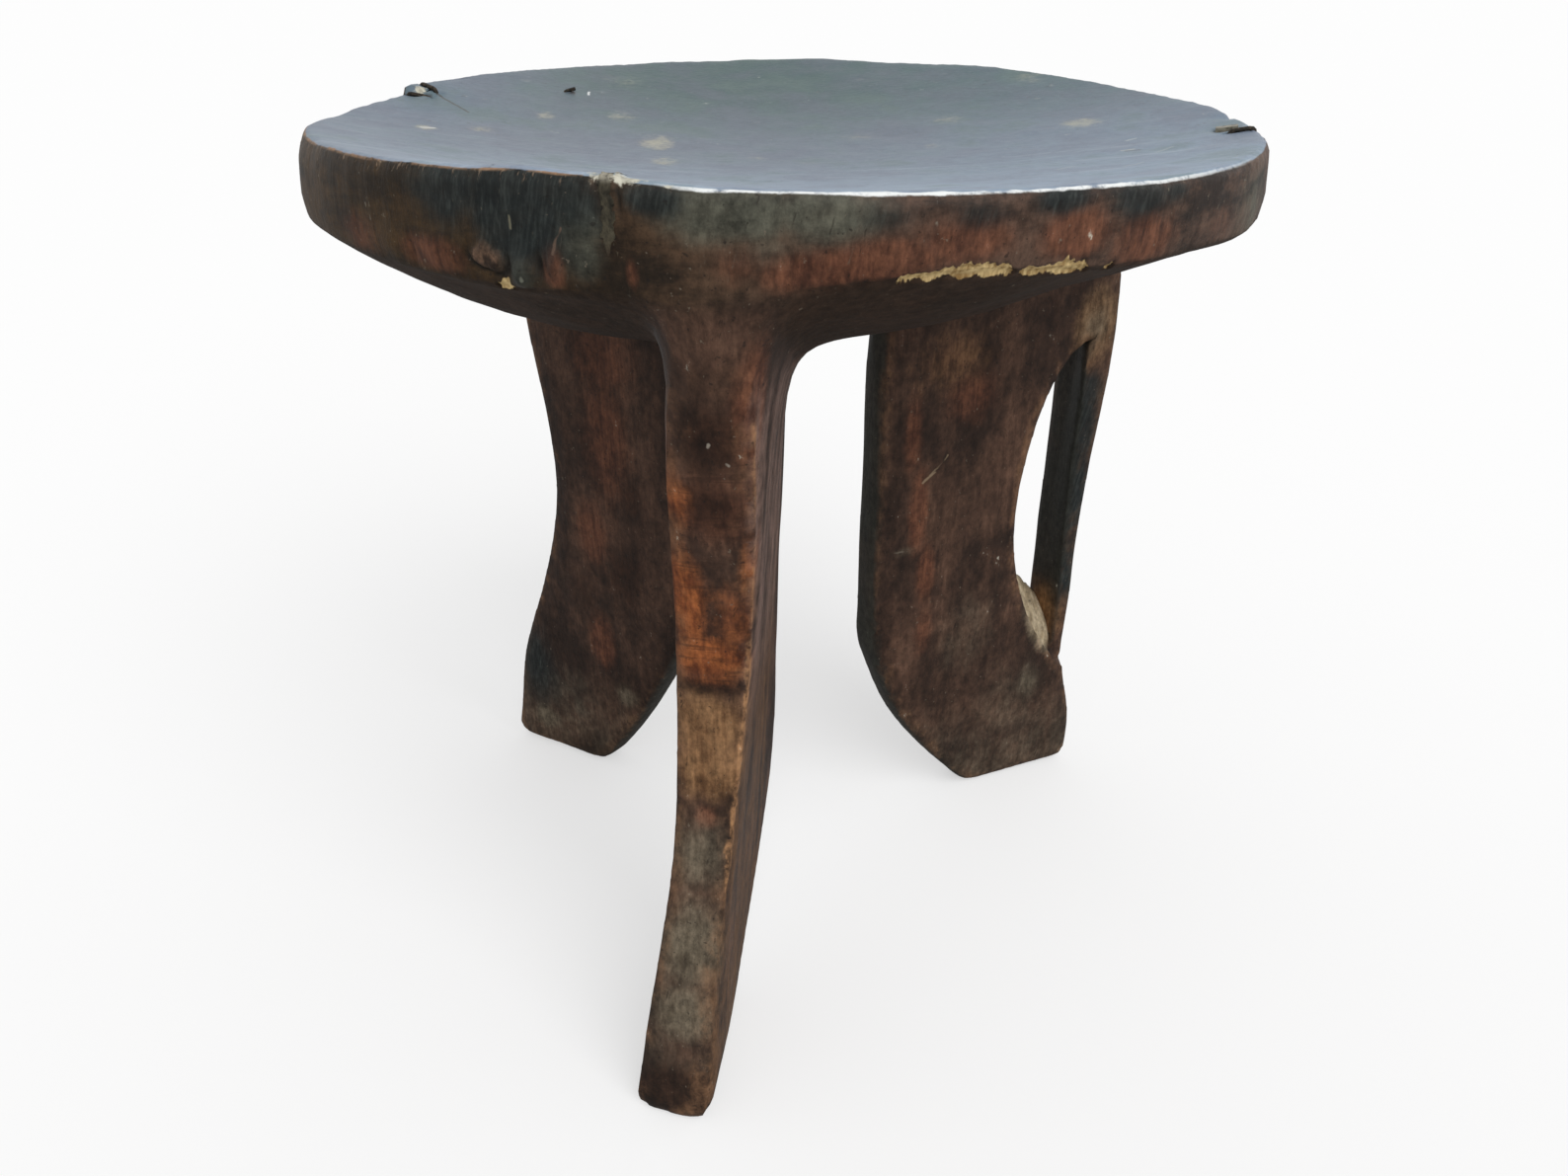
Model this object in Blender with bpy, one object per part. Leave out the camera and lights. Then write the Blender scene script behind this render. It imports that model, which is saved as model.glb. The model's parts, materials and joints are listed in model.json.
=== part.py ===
"""Three-legged stool carved from one log, with the metal repairs on its cracked rim.

The log stands on end. Its top is dished for a seat with a rim, its underside is left bellied, and
three plank legs stand radially below. One leg keeps a strut in front of its hollowed edge, as a
carrying handle. Wire staples, a flat strap, a bent nail and a filler mend the seat's splits.
"""

import math
from typing import NamedTuple

import bmesh
import bpy
from mathutils import Vector
from mathutils.bvhtree import BVHTree

# Seat, in metres. Headings are degrees round the seat's axis, from +X towards +Y.
SEAT_RADIUS = 0.162  # of the rim's outer face at its top
SEAT_HEIGHT = 0.3315  # floor to the rim's mean crest, along the seat's axis
TIP_FORWARD = 1.07  # degrees by which the seat's axis leans towards -Y
TIP_RIGHT = 0.47  # degrees by which it leans towards +X
DISH_DEPTH = 0.018  # how far the middle of the seat lies below the crest
RIM_WALL = 0.0225  # mean height of the rim's outer face
RIM_ROUND = 0.0025  # chamfer between the rim's crest and its outer face
RIM_FLARE = 0.002  # the rim's lower edge lies this far out at the two sides and in between them
RIM_SADDLE = 0.002  # the crest dips this far at the two sides and rises as far between them
RIM_WALL_LEAN = 0.0015  # the wall is this much taller on the side at BELLY_HEADING
BELLY_DEPTH = 0.048  # how far the underside hangs below the rim's lower edge
BELLY_LEAN = 0.012  # the belly hangs this much lower towards BELLY_HEADING
BELLY_HEADING = 180.0
BELLY_FULLNESS = 2.6  # exponent of the belly's curve

# Legs
LEG_FILLET = 0.010  # height of the blend from the underside into a leg
LEG_SPLAY = 0.006  # how far a leg's sides spread in that blend
FOOT_CREASE = 0.45  # subdivision crease of a foot's lower edges
ARRIS_CREASE = 0.42  # subdivision crease of a leg's long edges
RIM_CREASE = 0.45  # subdivision crease of the rim's edges

# Carrying handle
HANDLE_STRUT = 0.0125  # width of the strut at its top, measured along the leg
HANDLE_DROP = 0.0765  # how far the finger hole's upper end lies below the rim's lower edge
HANDLE_SCOOP = 0.080  # how far below that end the leg's edge is scooped deepest
HANDLE_BOTTOM = 0.0665  # height of the finger hole's lower end at the strut's near face
HANDLE_FLOOR_RISE = 0.024  # how much higher that end lies at the leg's far face
HANDLE_HOLLOW = 0.0335  # how deep the leg's edge is scooped behind the strut
HANDLE_SETBACK = 0.005  # how far the strut's near face lies behind the leg's near face
HANDLE_RAMP = 0.060  # height over which the strut's face falls back to that depth

# Repairs
WIRE = 0.0018  # diameter of the staples' wire
STAPLE_LEG = 0.009  # depth to which a staple's legs are driven
STAPLE_SINK = 0.0006  # how far a staple's crown is bedded in the wood
NAIL_WIRE = 0.0015
NAIL_DEPTH = 0.012  # how far the nail is driven in
STRAP_WIDTH = 0.0045
STRAP_THICKNESS = 0.0014
FILLER_HEADING = -105.3
FILLER_WIDTH = 0.0042
FILLER_HEIGHT = 0.020  # how far it reaches down from the rim's crest
FILLER_DEPTH = 0.012  # how far the split runs in from the rim's face
FIT = 0.0003  # gap between a repair and the wood round it

# Mesh density
FREE_SPOKES = 6  # spokes of the seat's mesh between two legs
DISH_RINGS = (0.5, 0.88, 1.0)  # the dish's rings, as shares of the crest's radius
HOLLOW_STEPS = 8  # straight steps in each half of the finger hole's curve
SUBDIVISIONS = 2


class Repair(NamedTuple):
    """Where a repair lies on the seat."""

    heading: float
    inset: float  # of its middle, in from the rim's outer face
    length: float
    turn: float  # degrees by which it is turned from lying along the rim


LEFT_BACK_STAPLE = Repair(157.0, 0.0080, 0.0090, 75.0)
LEFT_FRONT_STAPLE = Repair(159.5, 0.0080, 0.0090, 105.0)
RIGHT_STRAP = Repair(-6.5, 0.0110, 0.0070, 80.0)
RIGHT_STAPLE = Repair(-9.5, 0.0075, 0.0080, 90.0)
BENT_NAIL = Repair(136.6, 0.0340, 0.0050, -192.0)  # its length is the end that lies on the seat


class Station(NamedTuple):
    """One level of a leg's outline."""

    share: float  # of the clear height under the belly
    inner: float  # radius of the inner edge, from the seat's axis
    inset: float  # depth of the outer edge, in from the log's face
    thickness: float  # along the outer edge


class Leg(NamedTuple):
    """A plank leg, with its outline from the seat down."""

    seat_heading: float
    foot_heading: float
    inner_edge: float  # thickness along the inner edge
    reaches_rim: bool
    outline: tuple


FRONT_LEG = Leg(
    -96.5,
    -105.0,
    0.0145,
    True,
    (
        Station(1.00, 0.050, 0.0020, 0.027),
        Station(0.80, 0.053, 0.0220, 0.025),
        Station(0.60, 0.054, 0.0270, 0.023),
        Station(0.40, 0.044, 0.0220, 0.0215),
        Station(0.24, 0.061, 0.0080, 0.024),
        Station(0.12, 0.085, 0.0005, 0.027),
        Station(0.00, 0.102, -0.0015, 0.029),
    ),
)
HANDLE_LEG = Leg(
    27.0,
    27.0,
    0.018,
    True,
    (
        Station(1.00, 0.0385, 0.0035, 0.026),
        Station(0.80, 0.040, 0.0035, 0.026),
        Station(0.60, 0.040, 0.0070, 0.026),
        Station(0.40, 0.039, 0.0085, 0.026),
        Station(0.24, 0.052, 0.0110, 0.026),
        Station(0.12, 0.074, 0.0010, 0.026),
        Station(0.00, 0.102, 0.0015, 0.026),
    ),
)
BACK_LEG = Leg(
    145.0,
    145.0,
    0.017,
    False,
    (
        Station(1.00, 0.042, 0.0200, 0.026),
        Station(0.80, 0.042, 0.0330, 0.026),
        Station(0.60, 0.042, 0.0420, 0.026),
        Station(0.40, 0.046, 0.0220, 0.026),
        Station(0.24, 0.069, 0.0060, 0.026),
        Station(0.12, 0.087, -0.0035, 0.026),
        Station(0.00, 0.112, -0.0075, 0.026),
    ),
)
LEGS = (FRONT_LEG, HANDLE_LEG, BACK_LEG)

SPOKES = len(LEGS) * (FREE_SPOKES + 2)
RING_GAIN = 3 / (2 + math.cos(2 * math.pi / SPOKES))  # subdivision draws a ring in by this factor
INNER_RING = min(station.inner for leg in LEGS for station in leg.outline[:2]) - 0.5 * LEG_SPLAY
OUTER_RING = SEAT_RADIUS - BACK_LEG.outline[0].inset
MIDDLE_RING = 0.5 * (INNER_RING + OUTER_RING) + LEG_SPLAY


def direction(heading):
    """Unit vector that points out from the axis at a heading in radians."""
    return Vector((math.cos(heading), math.sin(heading), 0))


def across(heading):
    """Unit vector square to that direction, turned anticlockwise."""
    return Vector((-math.sin(heading), math.cos(heading), 0))


def middle_of(repair):
    return direction(math.radians(repair.heading)) * (SEAT_RADIUS - repair.inset)


def along(repair):
    return across(math.radians(repair.heading + repair.turn))


def crest_height(heading):
    return SEAT_HEIGHT - RIM_SADDLE * math.cos(2 * heading)


def rim_low_height(heading):
    lean = RIM_WALL_LEAN * math.cos(heading - math.radians(BELLY_HEADING))
    return crest_height(heading) - RIM_WALL - lean


def rim_low_radius(heading):
    return SEAT_RADIUS + RIM_FLARE * math.cos(2 * heading)


def dish_height(radius, heading):
    share = min(radius / (SEAT_RADIUS - RIM_ROUND), 1)
    crest = SEAT_HEIGHT + (crest_height(heading) - SEAT_HEIGHT) * share**2
    return crest - DISH_DEPTH * (1 - share**2)


def belly_height(radius, heading):
    share = min(radius / rim_low_radius(heading), 1)
    lean = BELLY_LEAN * share * math.cos(heading - math.radians(BELLY_HEADING))
    low = SEAT_HEIGHT - RIM_WALL + (rim_low_height(heading) - SEAT_HEIGHT + RIM_WALL) * share
    return low - (BELLY_DEPTH + lean) * (1 - share**BELLY_FULLNESS)


CLEAR_HEIGHT = belly_height(0, 0)


def floor_height(place):
    """Height of the floor under a place, in the leaning seat's own frame."""
    forward, right = math.tan(math.radians(TIP_FORWARD)), math.tan(math.radians(TIP_RIGHT))
    return right * place.x - forward * place.y


def spoke_headings(radius, half_width):
    """Headings of a ring's spokes: a pair hugs each leg and the rest lie evenly between pairs."""
    half = math.asin(half_width / radius)
    headings = []
    for leg, following in zip(LEGS, LEGS[1:] + LEGS[:1]):
        here = math.radians(leg.seat_heading)
        gap = (math.radians(following.seat_heading) - here) % (2 * math.pi) - 2 * half
        headings.append(here - half)
        headings += [here + half + gap * k / (FREE_SPOKES + 1) for k in range(FREE_SPOKES + 1)]
    return headings


def add_ring(bm, radius, half_width, height, reach=None):
    """A ring of vertices. Height depends on radius and heading, and reach can vary the radius."""
    ring = []
    for heading in spoke_headings(radius, half_width):
        here = reach(heading) if reach else radius
        place = direction(heading) * here * RING_GAIN
        place.z = height(here, heading)
        ring.append(bm.verts.new(place))
    return ring


def bridge(bm, upper, lower, skip=()):
    """Quads between two rings, apart from the spans listed in skip."""
    for k in range(len(upper)):
        if k not in skip:
            after = (k + 1) % len(upper)
            bm.faces.new((upper[k], lower[k], lower[after], upper[after]))


def crease_ring(bm, ring, crease, skip=()):
    layer = bm.edges.layers.float["crease_edge"]
    for k in range(len(ring)):
        if k not in skip:
            bm.edges.get((ring[k], ring[(k + 1) % len(ring)]))[layer] = crease


def seat_rings(bm):
    """The seat's skin with a gap under it for each leg. Gives the underside's rings from the rim in."""
    pair = SEAT_RADIUS * math.sin(math.pi / SPOKES)
    half = 0.5 * FRONT_LEG.outline[0].thickness
    crest_radius = SEAT_RADIUS - RIM_ROUND
    top = [
        add_ring(bm, share * crest_radius, share * pair, dish_height) for share in DISH_RINGS
    ]
    wall = add_ring(bm, SEAT_RADIUS, pair, lambda _, heading: crest_height(heading) - RIM_ROUND)
    rim_low = add_ring(
        bm, SEAT_RADIUS, pair, lambda _, heading: rim_low_height(heading), rim_low_radius
    )
    below = [rim_low]
    for radius, width in (
        (OUTER_RING, half + LEG_SPLAY),
        (MIDDLE_RING, half + LEG_SPLAY),
        (INNER_RING, 0.5 * (HANDLE_LEG.inner_edge + LEG_SPLAY)),
    ):
        below.append(add_ring(bm, radius, width, belly_height))
    to_rim = {k * (FREE_SPOKES + 2) for k, leg in enumerate(LEGS) if leg.reaches_rim}
    every_leg = {k * (FREE_SPOKES + 2) for k in range(len(LEGS))}

    middle = bm.verts.new((0, 0, dish_height(0, 0)))
    for k in range(SPOKES):
        bm.faces.new((middle, top[0][k], top[0][(k + 1) % SPOKES]))
    for upper, lower in zip(top + [wall], top[1:] + [wall, rim_low]):
        bridge(bm, upper, lower)
    bridge(bm, below[0], below[1], to_rim)
    bridge(bm, below[1], below[2], every_leg)
    bridge(bm, below[2], below[3], every_leg)
    belly = bm.verts.new((0, 0, belly_height(0, 0)))
    for k in range(SPOKES):
        bm.faces.new((belly, below[3][(k + 1) % SPOKES], below[3][k]))
    crease_ring(bm, top[-1], RIM_CREASE)
    crease_ring(bm, wall, RIM_CREASE)
    crease_ring(bm, rim_low, RIM_CREASE, to_rim)
    return below


def leg_level(bm, leg, station, columns):
    """One level of a leg: its two rows of vertices, clockwise side first, from the inner edge out."""
    turn = leg.foot_heading + (leg.seat_heading - leg.foot_heading) * station.share
    heading = math.radians(turn)
    outer = SEAT_RADIUS - station.inset
    rows = ([], [])
    for column in range(columns):
        share = column / (columns - 1)
        radius = station.inner + (outer - station.inner) * share
        half = 0.5 * (leg.inner_edge + (station.thickness - leg.inner_edge) * share)
        for row, side in zip(rows, (-1, 1)):
            place = direction(heading) * radius + across(heading) * side * half
            if station.share == 1:
                place.z = belly_height(radius, heading) - LEG_FILLET
            else:
                floor = floor_height(place)
                place.z = floor + (CLEAR_HEIGHT - floor) * station.share
            row.append(bm.verts.new(place))
    return rows


def add_leg(bm, leg, below, first_spoke):
    """Carries the gap in the underside down to a closed foot."""
    layer = bm.edges.layers.float["crease_edge"]
    rings = below if leg.reaches_rim else below[1:]
    rings = rings[::-1]
    levels = [tuple([ring[first_spoke + side] for ring in rings] for side in (0, 1))]
    levels += [leg_level(bm, leg, station, len(rings)) for station in leg.outline]
    loops = [clockwise + anticlockwise[::-1] for clockwise, anticlockwise in levels]
    for upper, lower in zip(loops, loops[1:]):
        bridge(bm, upper, lower)
    clockwise, anticlockwise = levels[-1]
    for k in range(len(rings) - 1):
        bm.faces.new((clockwise[k], anticlockwise[k], anticlockwise[k + 1], clockwise[k + 1]))
    crease_ring(bm, loops[-1], FOOT_CREASE)
    for upper, lower in zip(loops[1:], loops[2:]):
        for corner in (0, len(rings) - 1, len(rings), 2 * len(rings) - 1):
            bm.edges.get((upper[corner], lower[corner]))[layer] = ARRIS_CREASE


def carved_mesh():
    """The control mesh of seat and legs, before the cuts."""
    bm = bmesh.new()
    bm.edges.layers.float.new("crease_edge")
    below = seat_rings(bm)
    for k, leg in enumerate(LEGS):
        add_leg(bm, leg, below, k * (FREE_SPOKES + 2))
    bmesh.ops.recalc_face_normals(bm, faces=bm.faces)
    mesh = bpy.data.meshes.new("carved_log")
    bm.to_mesh(mesh)
    bm.free()
    mesh.shade_smooth()
    return mesh


def add_object(name, data):
    obj = bpy.data.objects.new(name, data)
    bpy.context.scene.collection.objects.link(obj)
    return obj


def as_helper(obj):
    """Marks a cutter or a guide, which isn't part of the stool."""
    obj.hide_render = True
    obj.display_type = "WIRE"
    return obj


def add_subdivided(name, mesh):
    obj = add_object(name, mesh)
    smooth = obj.modifiers.new("carved_curves", "SUBSURF")
    smooth.levels = SUBDIVISIONS
    smooth.render_levels = SUBDIVISIONS
    return obj


def cut(obj, cutter, operation="DIFFERENCE"):
    modifier = obj.modifiers.new(cutter.name, "BOOLEAN")
    modifier.operation = operation
    modifier.object = cutter
    modifier.solver = "EXACT"


def prism(name, near, far):
    """A closed solid between two outlines of as many points."""
    bm = bmesh.new()
    loops = [[bm.verts.new(point) for point in outline] for outline in (near, far)]
    for loop in loops:
        bm.faces.new(loop)
    bridge(bm, *loops)
    bmesh.ops.recalc_face_normals(bm, faces=bm.faces)
    mesh = bpy.data.meshes.new(name)
    bm.to_mesh(mesh)
    bm.free()
    return add_object(name, mesh)


def handle_cutter():
    """The finger hole behind the strut, with the shallow cut that sets the strut back."""
    heading = math.radians(HANDLE_LEG.seat_heading)
    outward, sideways = direction(heading), across(heading)
    top = SEAT_HEIGHT - RIM_WALL - HANDLE_DROP
    deepest = top - HANDLE_SCOOP
    ramp_end = top - HANDLE_RAMP
    near_side = -0.5 * max(station.thickness for station in HANDLE_LEG.outline) - FIT
    chord = SEAT_RADIUS - HANDLE_LEG.outline[1].inset - HANDLE_STRUT
    beyond = SEAT_RADIUS + HANDLE_STRUT
    tail = math.sqrt(1 + (beyond - chord) / HANDLE_HOLLOW)
    foot = deepest - (deepest - HANDLE_BOTTOM) * tail
    bm = bmesh.new()

    def corner(radius, height, side):
        return bm.verts.new(outward * radius + sideways * side + Vector((0, 0, height)))

    def face_side(height):
        """Where the strut's near face lies at a height."""
        return near_side + HANDLE_SETBACK * min((top - height) / HANDLE_RAMP, 1)

    def hollow(bottom):
        """Radius and height along the scoop: an ellipse to its deepest point, a parabola below."""
        shares = [k / HOLLOW_STEPS for k in range(HOLLOW_STEPS + 1)]
        outline = []
        for share in shares[:-1]:
            turn = 0.5 * math.pi * share
            depth = HANDLE_HOLLOW * math.sin(turn)
            outline.append((chord - depth, deepest + HANDLE_SCOOP * math.cos(turn)))
        for share in shares:
            depth = HANDLE_HOLLOW * (1 - share**2)
            outline.append((chord - depth, deepest - (deepest - bottom) * share))
        return outline

    near = hollow(HANDLE_BOTTOM)
    far = hollow(HANDLE_BOTTOM + HANDLE_FLOOR_RISE)
    front = [corner(*point, 2 * near_side) for point in near]
    face = [corner(*point, face_side(point[1])) for point in near]
    back = [corner(*point, -near_side) for point in far]
    front_top, front_foot = [corner(beyond, height, 2 * near_side) for height in (top, foot)]
    face_top, face_ramp, face_foot = [
        corner(beyond, height, face_side(height)) for height in (top, ramp_end, foot)
    ]
    chord_ramp = corner(chord, ramp_end, face_side(ramp_end))
    for nearer, farther in ((front, face), (face, back)):
        for k in range(len(near) - 1):
            bm.faces.new((nearer[k], nearer[k + 1], farther[k + 1], farther[k]))
    for corners in (
        front + [front_foot, front_top],
        back,
        (face[0], chord_ramp, face[-1], back[-1], back[0]),
        (face[0], face_top, face_ramp, chord_ramp),
        (chord_ramp, face_ramp, face_foot, face[-1]),
        (front[0], front_top, face_top, face[0]),
        (front[-1], front_foot, face_foot, face[-1]),
        (front_top, front_foot, face_foot, face_ramp, face_top),
    ):
        bm.faces.new(corners)
    bmesh.ops.recalc_face_normals(bm, faces=bm.faces)
    mesh = bpy.data.meshes.new("finger_hole")
    bm.to_mesh(mesh)
    bm.free()
    return as_helper(add_object("finger_hole", mesh))


def smooth_metal(obj):
    obj.data.shade_smooth()
    obj.data.set_sharp_from_angle(angle=math.radians(40))


def wire_path(name, points, diameter):
    """A mesh of round wire along points, with its bends rounded and its ends closed."""
    curve = bpy.data.curves.new(name, "CURVE")
    curve.dimensions = "3D"
    curve.bevel_depth = 0.5 * diameter
    curve.bevel_resolution = 2
    curve.use_fill_caps = True
    spline = curve.splines.new("POLY")
    spline.points.add(len(points) - 1)
    for point, place in zip(spline.points, points):
        point.co = (*place, 1)
    guide = add_object(name + "_guide", curve)
    bpy.context.view_layer.update()
    evaluated = guide.evaluated_get(bpy.context.evaluated_depsgraph_get())
    mesh = bpy.data.meshes.new_from_object(evaluated)
    bpy.data.objects.remove(guide)
    bm = bmesh.new()
    bm.from_mesh(mesh)
    bmesh.ops.remove_doubles(bm, verts=bm.verts, dist=1e-6)
    bmesh.ops.recalc_face_normals(bm, faces=bm.faces)
    bm.to_mesh(mesh)
    bm.free()
    mesh.name = name
    return mesh


def rounded(points, radius, steps=3):
    """The points of a bent wire, with an arc of that radius at each inner corner."""
    path = [points[0]]
    for before, corner, after in zip(points, points[1:], points[2:]):
        start = corner + (before - corner).normalized() * radius
        end = corner + (after - corner).normalized() * radius
        for k in range(steps + 1):
            share = k / steps
            path.append(
                start * (1 - share) ** 2 + corner * 2 * share * (1 - share) + end * share**2
            )
    path.append(points[-1])
    return path


def staple(name, body, surface, repair):
    """A wire staple across a split in the rim. Its crown lies in the wood and its legs are driven in."""
    half = along(repair) * 0.5 * repair.length
    ends = [surface(middle_of(repair) + half * side) for side in (-1, 1)]
    lift = Vector((0, 0, 0.5 * WIRE - STAPLE_SINK))
    drop = Vector((0, 0, -STAPLE_LEG))
    corners = [ends[0] + drop, ends[0] + lift, ends[1] + lift, ends[1] + drop]
    obj = add_object(name, wire_path(name, rounded(corners, WIRE), WIRE))
    smooth_metal(obj)
    deeper = Vector((0, 0, -FIT))
    corners[0] += deeper
    corners[3] += deeper
    socket_mesh = wire_path(name + "_socket", rounded(corners, WIRE), WIRE + 2 * FIT)
    cut(body, as_helper(add_object(name + "_socket", socket_mesh)))
    return obj


def strap(name, body, surface, repair):
    """A flat strip across the split, bent down into the wood at both ends."""
    lengthways = along(repair)
    sideways = direction(math.radians(repair.heading + repair.turn))
    half = lengthways * 0.5 * repair.length
    ends = [surface(middle_of(repair) + half * side) for side in (-1, 1)]
    lift = Vector((0, 0, STRAP_THICKNESS - STAPLE_SINK))
    drop = Vector((0, 0, -STAPLE_LEG))
    step = lengthways * STRAP_THICKNESS
    under = Vector((0, 0, STRAP_THICKNESS))

    def bent_strip(label, spare):
        """The strip's side outline carried across its width, with spare all round."""
        over = Vector((0, 0, spare))
        out = lengthways * spare
        outline = [
            ends[0] + drop - out - over,
            ends[0] + lift - out + over,
            ends[1] + lift + out + over,
            ends[1] + drop + out - over,
            ends[1] + drop - step - out - over,
            ends[1] + lift - under - step - out - over,
            ends[0] + lift - under + step + out - over,
            ends[0] + drop + step + out - over,
        ]
        wide = sideways * (0.5 * STRAP_WIDTH + spare)
        return prism(label, [p - wide for p in outline], [p + wide for p in outline])

    obj = bent_strip(name, 0)
    smooth_metal(obj)
    cut(body, as_helper(bent_strip(name + "_socket", FIT)))
    return obj


def bent_nail(name, body, surface, repair):
    """A headless nail in the seat, with its end bent over."""
    place = middle_of(repair)
    foot = surface(place)
    bend = foot + Vector((0, 0, 0.5 * NAIL_WIRE - STAPLE_SINK))
    tip = surface(place + along(repair) * repair.length)
    tip += Vector((0, 0, 0.5 * NAIL_WIRE + FIT))
    corners = [foot - Vector((0, 0, NAIL_DEPTH)), bend, tip]
    obj = add_object(name, wire_path(name, rounded(corners, NAIL_WIRE), NAIL_WIRE))
    smooth_metal(obj)
    corners[0] -= Vector((0, 0, FIT))
    socket_mesh = wire_path(name + "_socket", rounded(corners, NAIL_WIRE), NAIL_WIRE + 2 * FIT)
    cut(body, as_helper(add_object(name + "_socket", socket_mesh)))
    return obj


def split_block(name, width, depth, height):
    """A block that stands in the split and past the rim's face and crest."""
    heading = math.radians(FILLER_HEADING)
    outward, sideways = direction(heading), across(heading) * 0.5 * width
    low = crest_height(heading) - height
    high = crest_height(heading) + RIM_WALL
    inner, outer = SEAT_RADIUS - depth, SEAT_RADIUS + RIM_WALL
    corners = [(inner, low), (outer, low), (outer, high), (inner, high)]
    outline = [outward * radius + Vector((0, 0, level)) for radius, level in corners]
    return prism(name, [p - sideways for p in outline], [p + sideways for p in outline])


def rim_filler(name, body, blank):
    """The filler in the split, dressed flush with the rim."""
    obj = split_block(name, FILLER_WIDTH, FILLER_DEPTH, FILLER_HEIGHT)
    cut(obj, blank, "INTERSECT")
    socket = split_block(
        name + "_socket", FILLER_WIDTH + 2 * FIT, FILLER_DEPTH + FIT, FILLER_HEIGHT + FIT
    )
    cut(body, as_helper(socket))
    return obj


def finish(obj, name, colour, roughness, metallic):
    material = bpy.data.materials.new(name)
    material.use_nodes = True
    shader = material.node_tree.nodes["Principled BSDF"]
    shader.inputs["Base Color"].default_value = (*colour, 1)
    shader.inputs["Roughness"].default_value = roughness
    shader.inputs["Metallic"].default_value = metallic
    obj.data.materials.clear()
    obj.data.materials.append(material)


def top_surface(blank):
    """A function that sets a point down on the seat's upper surface."""
    tree = BVHTree.FromObject(blank, bpy.context.evaluated_depsgraph_get())
    above = 2 * SEAT_HEIGHT

    def set_down(point):
        hit = tree.ray_cast(Vector((point.x, point.y, above)), Vector((0, 0, -1)))[0]
        return Vector((point.x, point.y, hit.z))

    return set_down


def stand_on_floor(body, objects):
    """Stands the stool on its three feet, with the middle of its box over the origin."""
    bpy.context.view_layer.update()
    evaluated = body.evaluated_get(bpy.context.evaluated_depsgraph_get())
    floor_normal = Vector((-floor_height(Vector((1, 0, 0))), -floor_height(Vector((0, 1, 0))), 1))
    turn = floor_normal.rotation_difference(Vector((0, 0, 1)))
    places = [turn @ vertex.co for vertex in evaluated.data.vertices]
    lowest = [min(place[axis] for place in places) for axis in range(3)]
    highest = [max(place[axis] for place in places) for axis in range(3)]
    stand = add_object("stool", None)
    stand.rotation_mode = "QUATERNION"
    stand.rotation_quaternion = turn
    stand.location = (
        -0.5 * (lowest[0] + highest[0]),
        -0.5 * (lowest[1] + highest[1]),
        -lowest[2],
    )
    for obj in objects:
        obj.parent = stand


def main():
    for obj in list(bpy.data.objects):
        bpy.data.objects.remove(obj)
    mesh = carved_mesh()
    body = add_subdivided("stool_body", mesh)
    blank = as_helper(add_subdivided("uncut_log", mesh.copy()))
    bpy.context.view_layer.update()
    surface = top_surface(blank)
    cut(body, handle_cutter())
    filler = rim_filler("rim_split_filler", body, blank)
    iron = [
        staple("left_back_staple", body, surface, LEFT_BACK_STAPLE),
        staple("left_front_staple", body, surface, LEFT_FRONT_STAPLE),
        staple("right_staple", body, surface, RIGHT_STAPLE),
        bent_nail("bent_nail", body, surface, BENT_NAIL),
    ]
    bright_strap = strap("right_strap", body, surface, RIGHT_STRAP)
    finish(body, "dark_patinated_wood", (0.075, 0.042, 0.027), 0.45, 0)
    finish(filler, "pale_filler", (0.30, 0.25, 0.15), 0.8, 0)
    finish(bright_strap, "dull_aluminium", (0.50, 0.46, 0.36), 0.5, 0.9)
    for obj in iron:
        finish(obj, "rusty_iron", (0.10, 0.085, 0.065), 0.6, 0.8)
    helpers = [obj for obj in bpy.data.objects if obj.hide_render]
    stand_on_floor(body, [body, filler, bright_strap] + iron + helpers)


main()
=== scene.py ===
"""Finish of the log-carved stool: glossy seat with a painted sheen, worn and dusty legs with painted shade on
their hidden faces, and the metal on its split rim.
"""

import json
import math
from typing import NamedTuple

import bmesh
import bpy
import numpy as np
from mathutils import Matrix, Vector

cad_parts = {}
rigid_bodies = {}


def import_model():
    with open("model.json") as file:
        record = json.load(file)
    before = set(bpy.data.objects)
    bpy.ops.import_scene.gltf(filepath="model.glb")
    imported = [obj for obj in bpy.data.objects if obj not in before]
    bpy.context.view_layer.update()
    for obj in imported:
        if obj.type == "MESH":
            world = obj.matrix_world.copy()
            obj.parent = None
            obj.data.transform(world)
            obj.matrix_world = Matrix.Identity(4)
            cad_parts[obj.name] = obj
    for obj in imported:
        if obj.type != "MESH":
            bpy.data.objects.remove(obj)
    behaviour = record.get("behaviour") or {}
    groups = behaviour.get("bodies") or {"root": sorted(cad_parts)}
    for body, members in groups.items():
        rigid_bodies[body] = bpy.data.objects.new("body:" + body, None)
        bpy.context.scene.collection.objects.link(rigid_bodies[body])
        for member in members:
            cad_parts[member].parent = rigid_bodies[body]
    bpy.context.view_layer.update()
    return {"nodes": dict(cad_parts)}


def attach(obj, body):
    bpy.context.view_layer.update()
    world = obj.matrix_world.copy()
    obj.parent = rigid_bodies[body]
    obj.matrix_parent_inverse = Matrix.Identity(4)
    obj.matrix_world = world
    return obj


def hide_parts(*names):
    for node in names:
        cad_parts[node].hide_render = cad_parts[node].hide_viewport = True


for startup_object in list(bpy.data.objects):
    bpy.data.objects.remove(startup_object)
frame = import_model()

# The seat leans on its three feet, so the carved details are placed in the seat's own frame.
TIP_FORWARD = math.radians(1.07)
TIP_RIGHT = math.radians(0.47)
LEAN = Vector((-math.tan(TIP_RIGHT), math.tan(TIP_FORWARD), 1)).rotation_difference(Vector((0, 0, 1)))
SEAT_FRAME = Matrix.Translation((-0.0025, 0.00609, 0)) @ LEAN.to_matrix().to_4x4()
SEAT_UP = np.array(LEAN @ Vector((0, 0, 1)))

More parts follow.
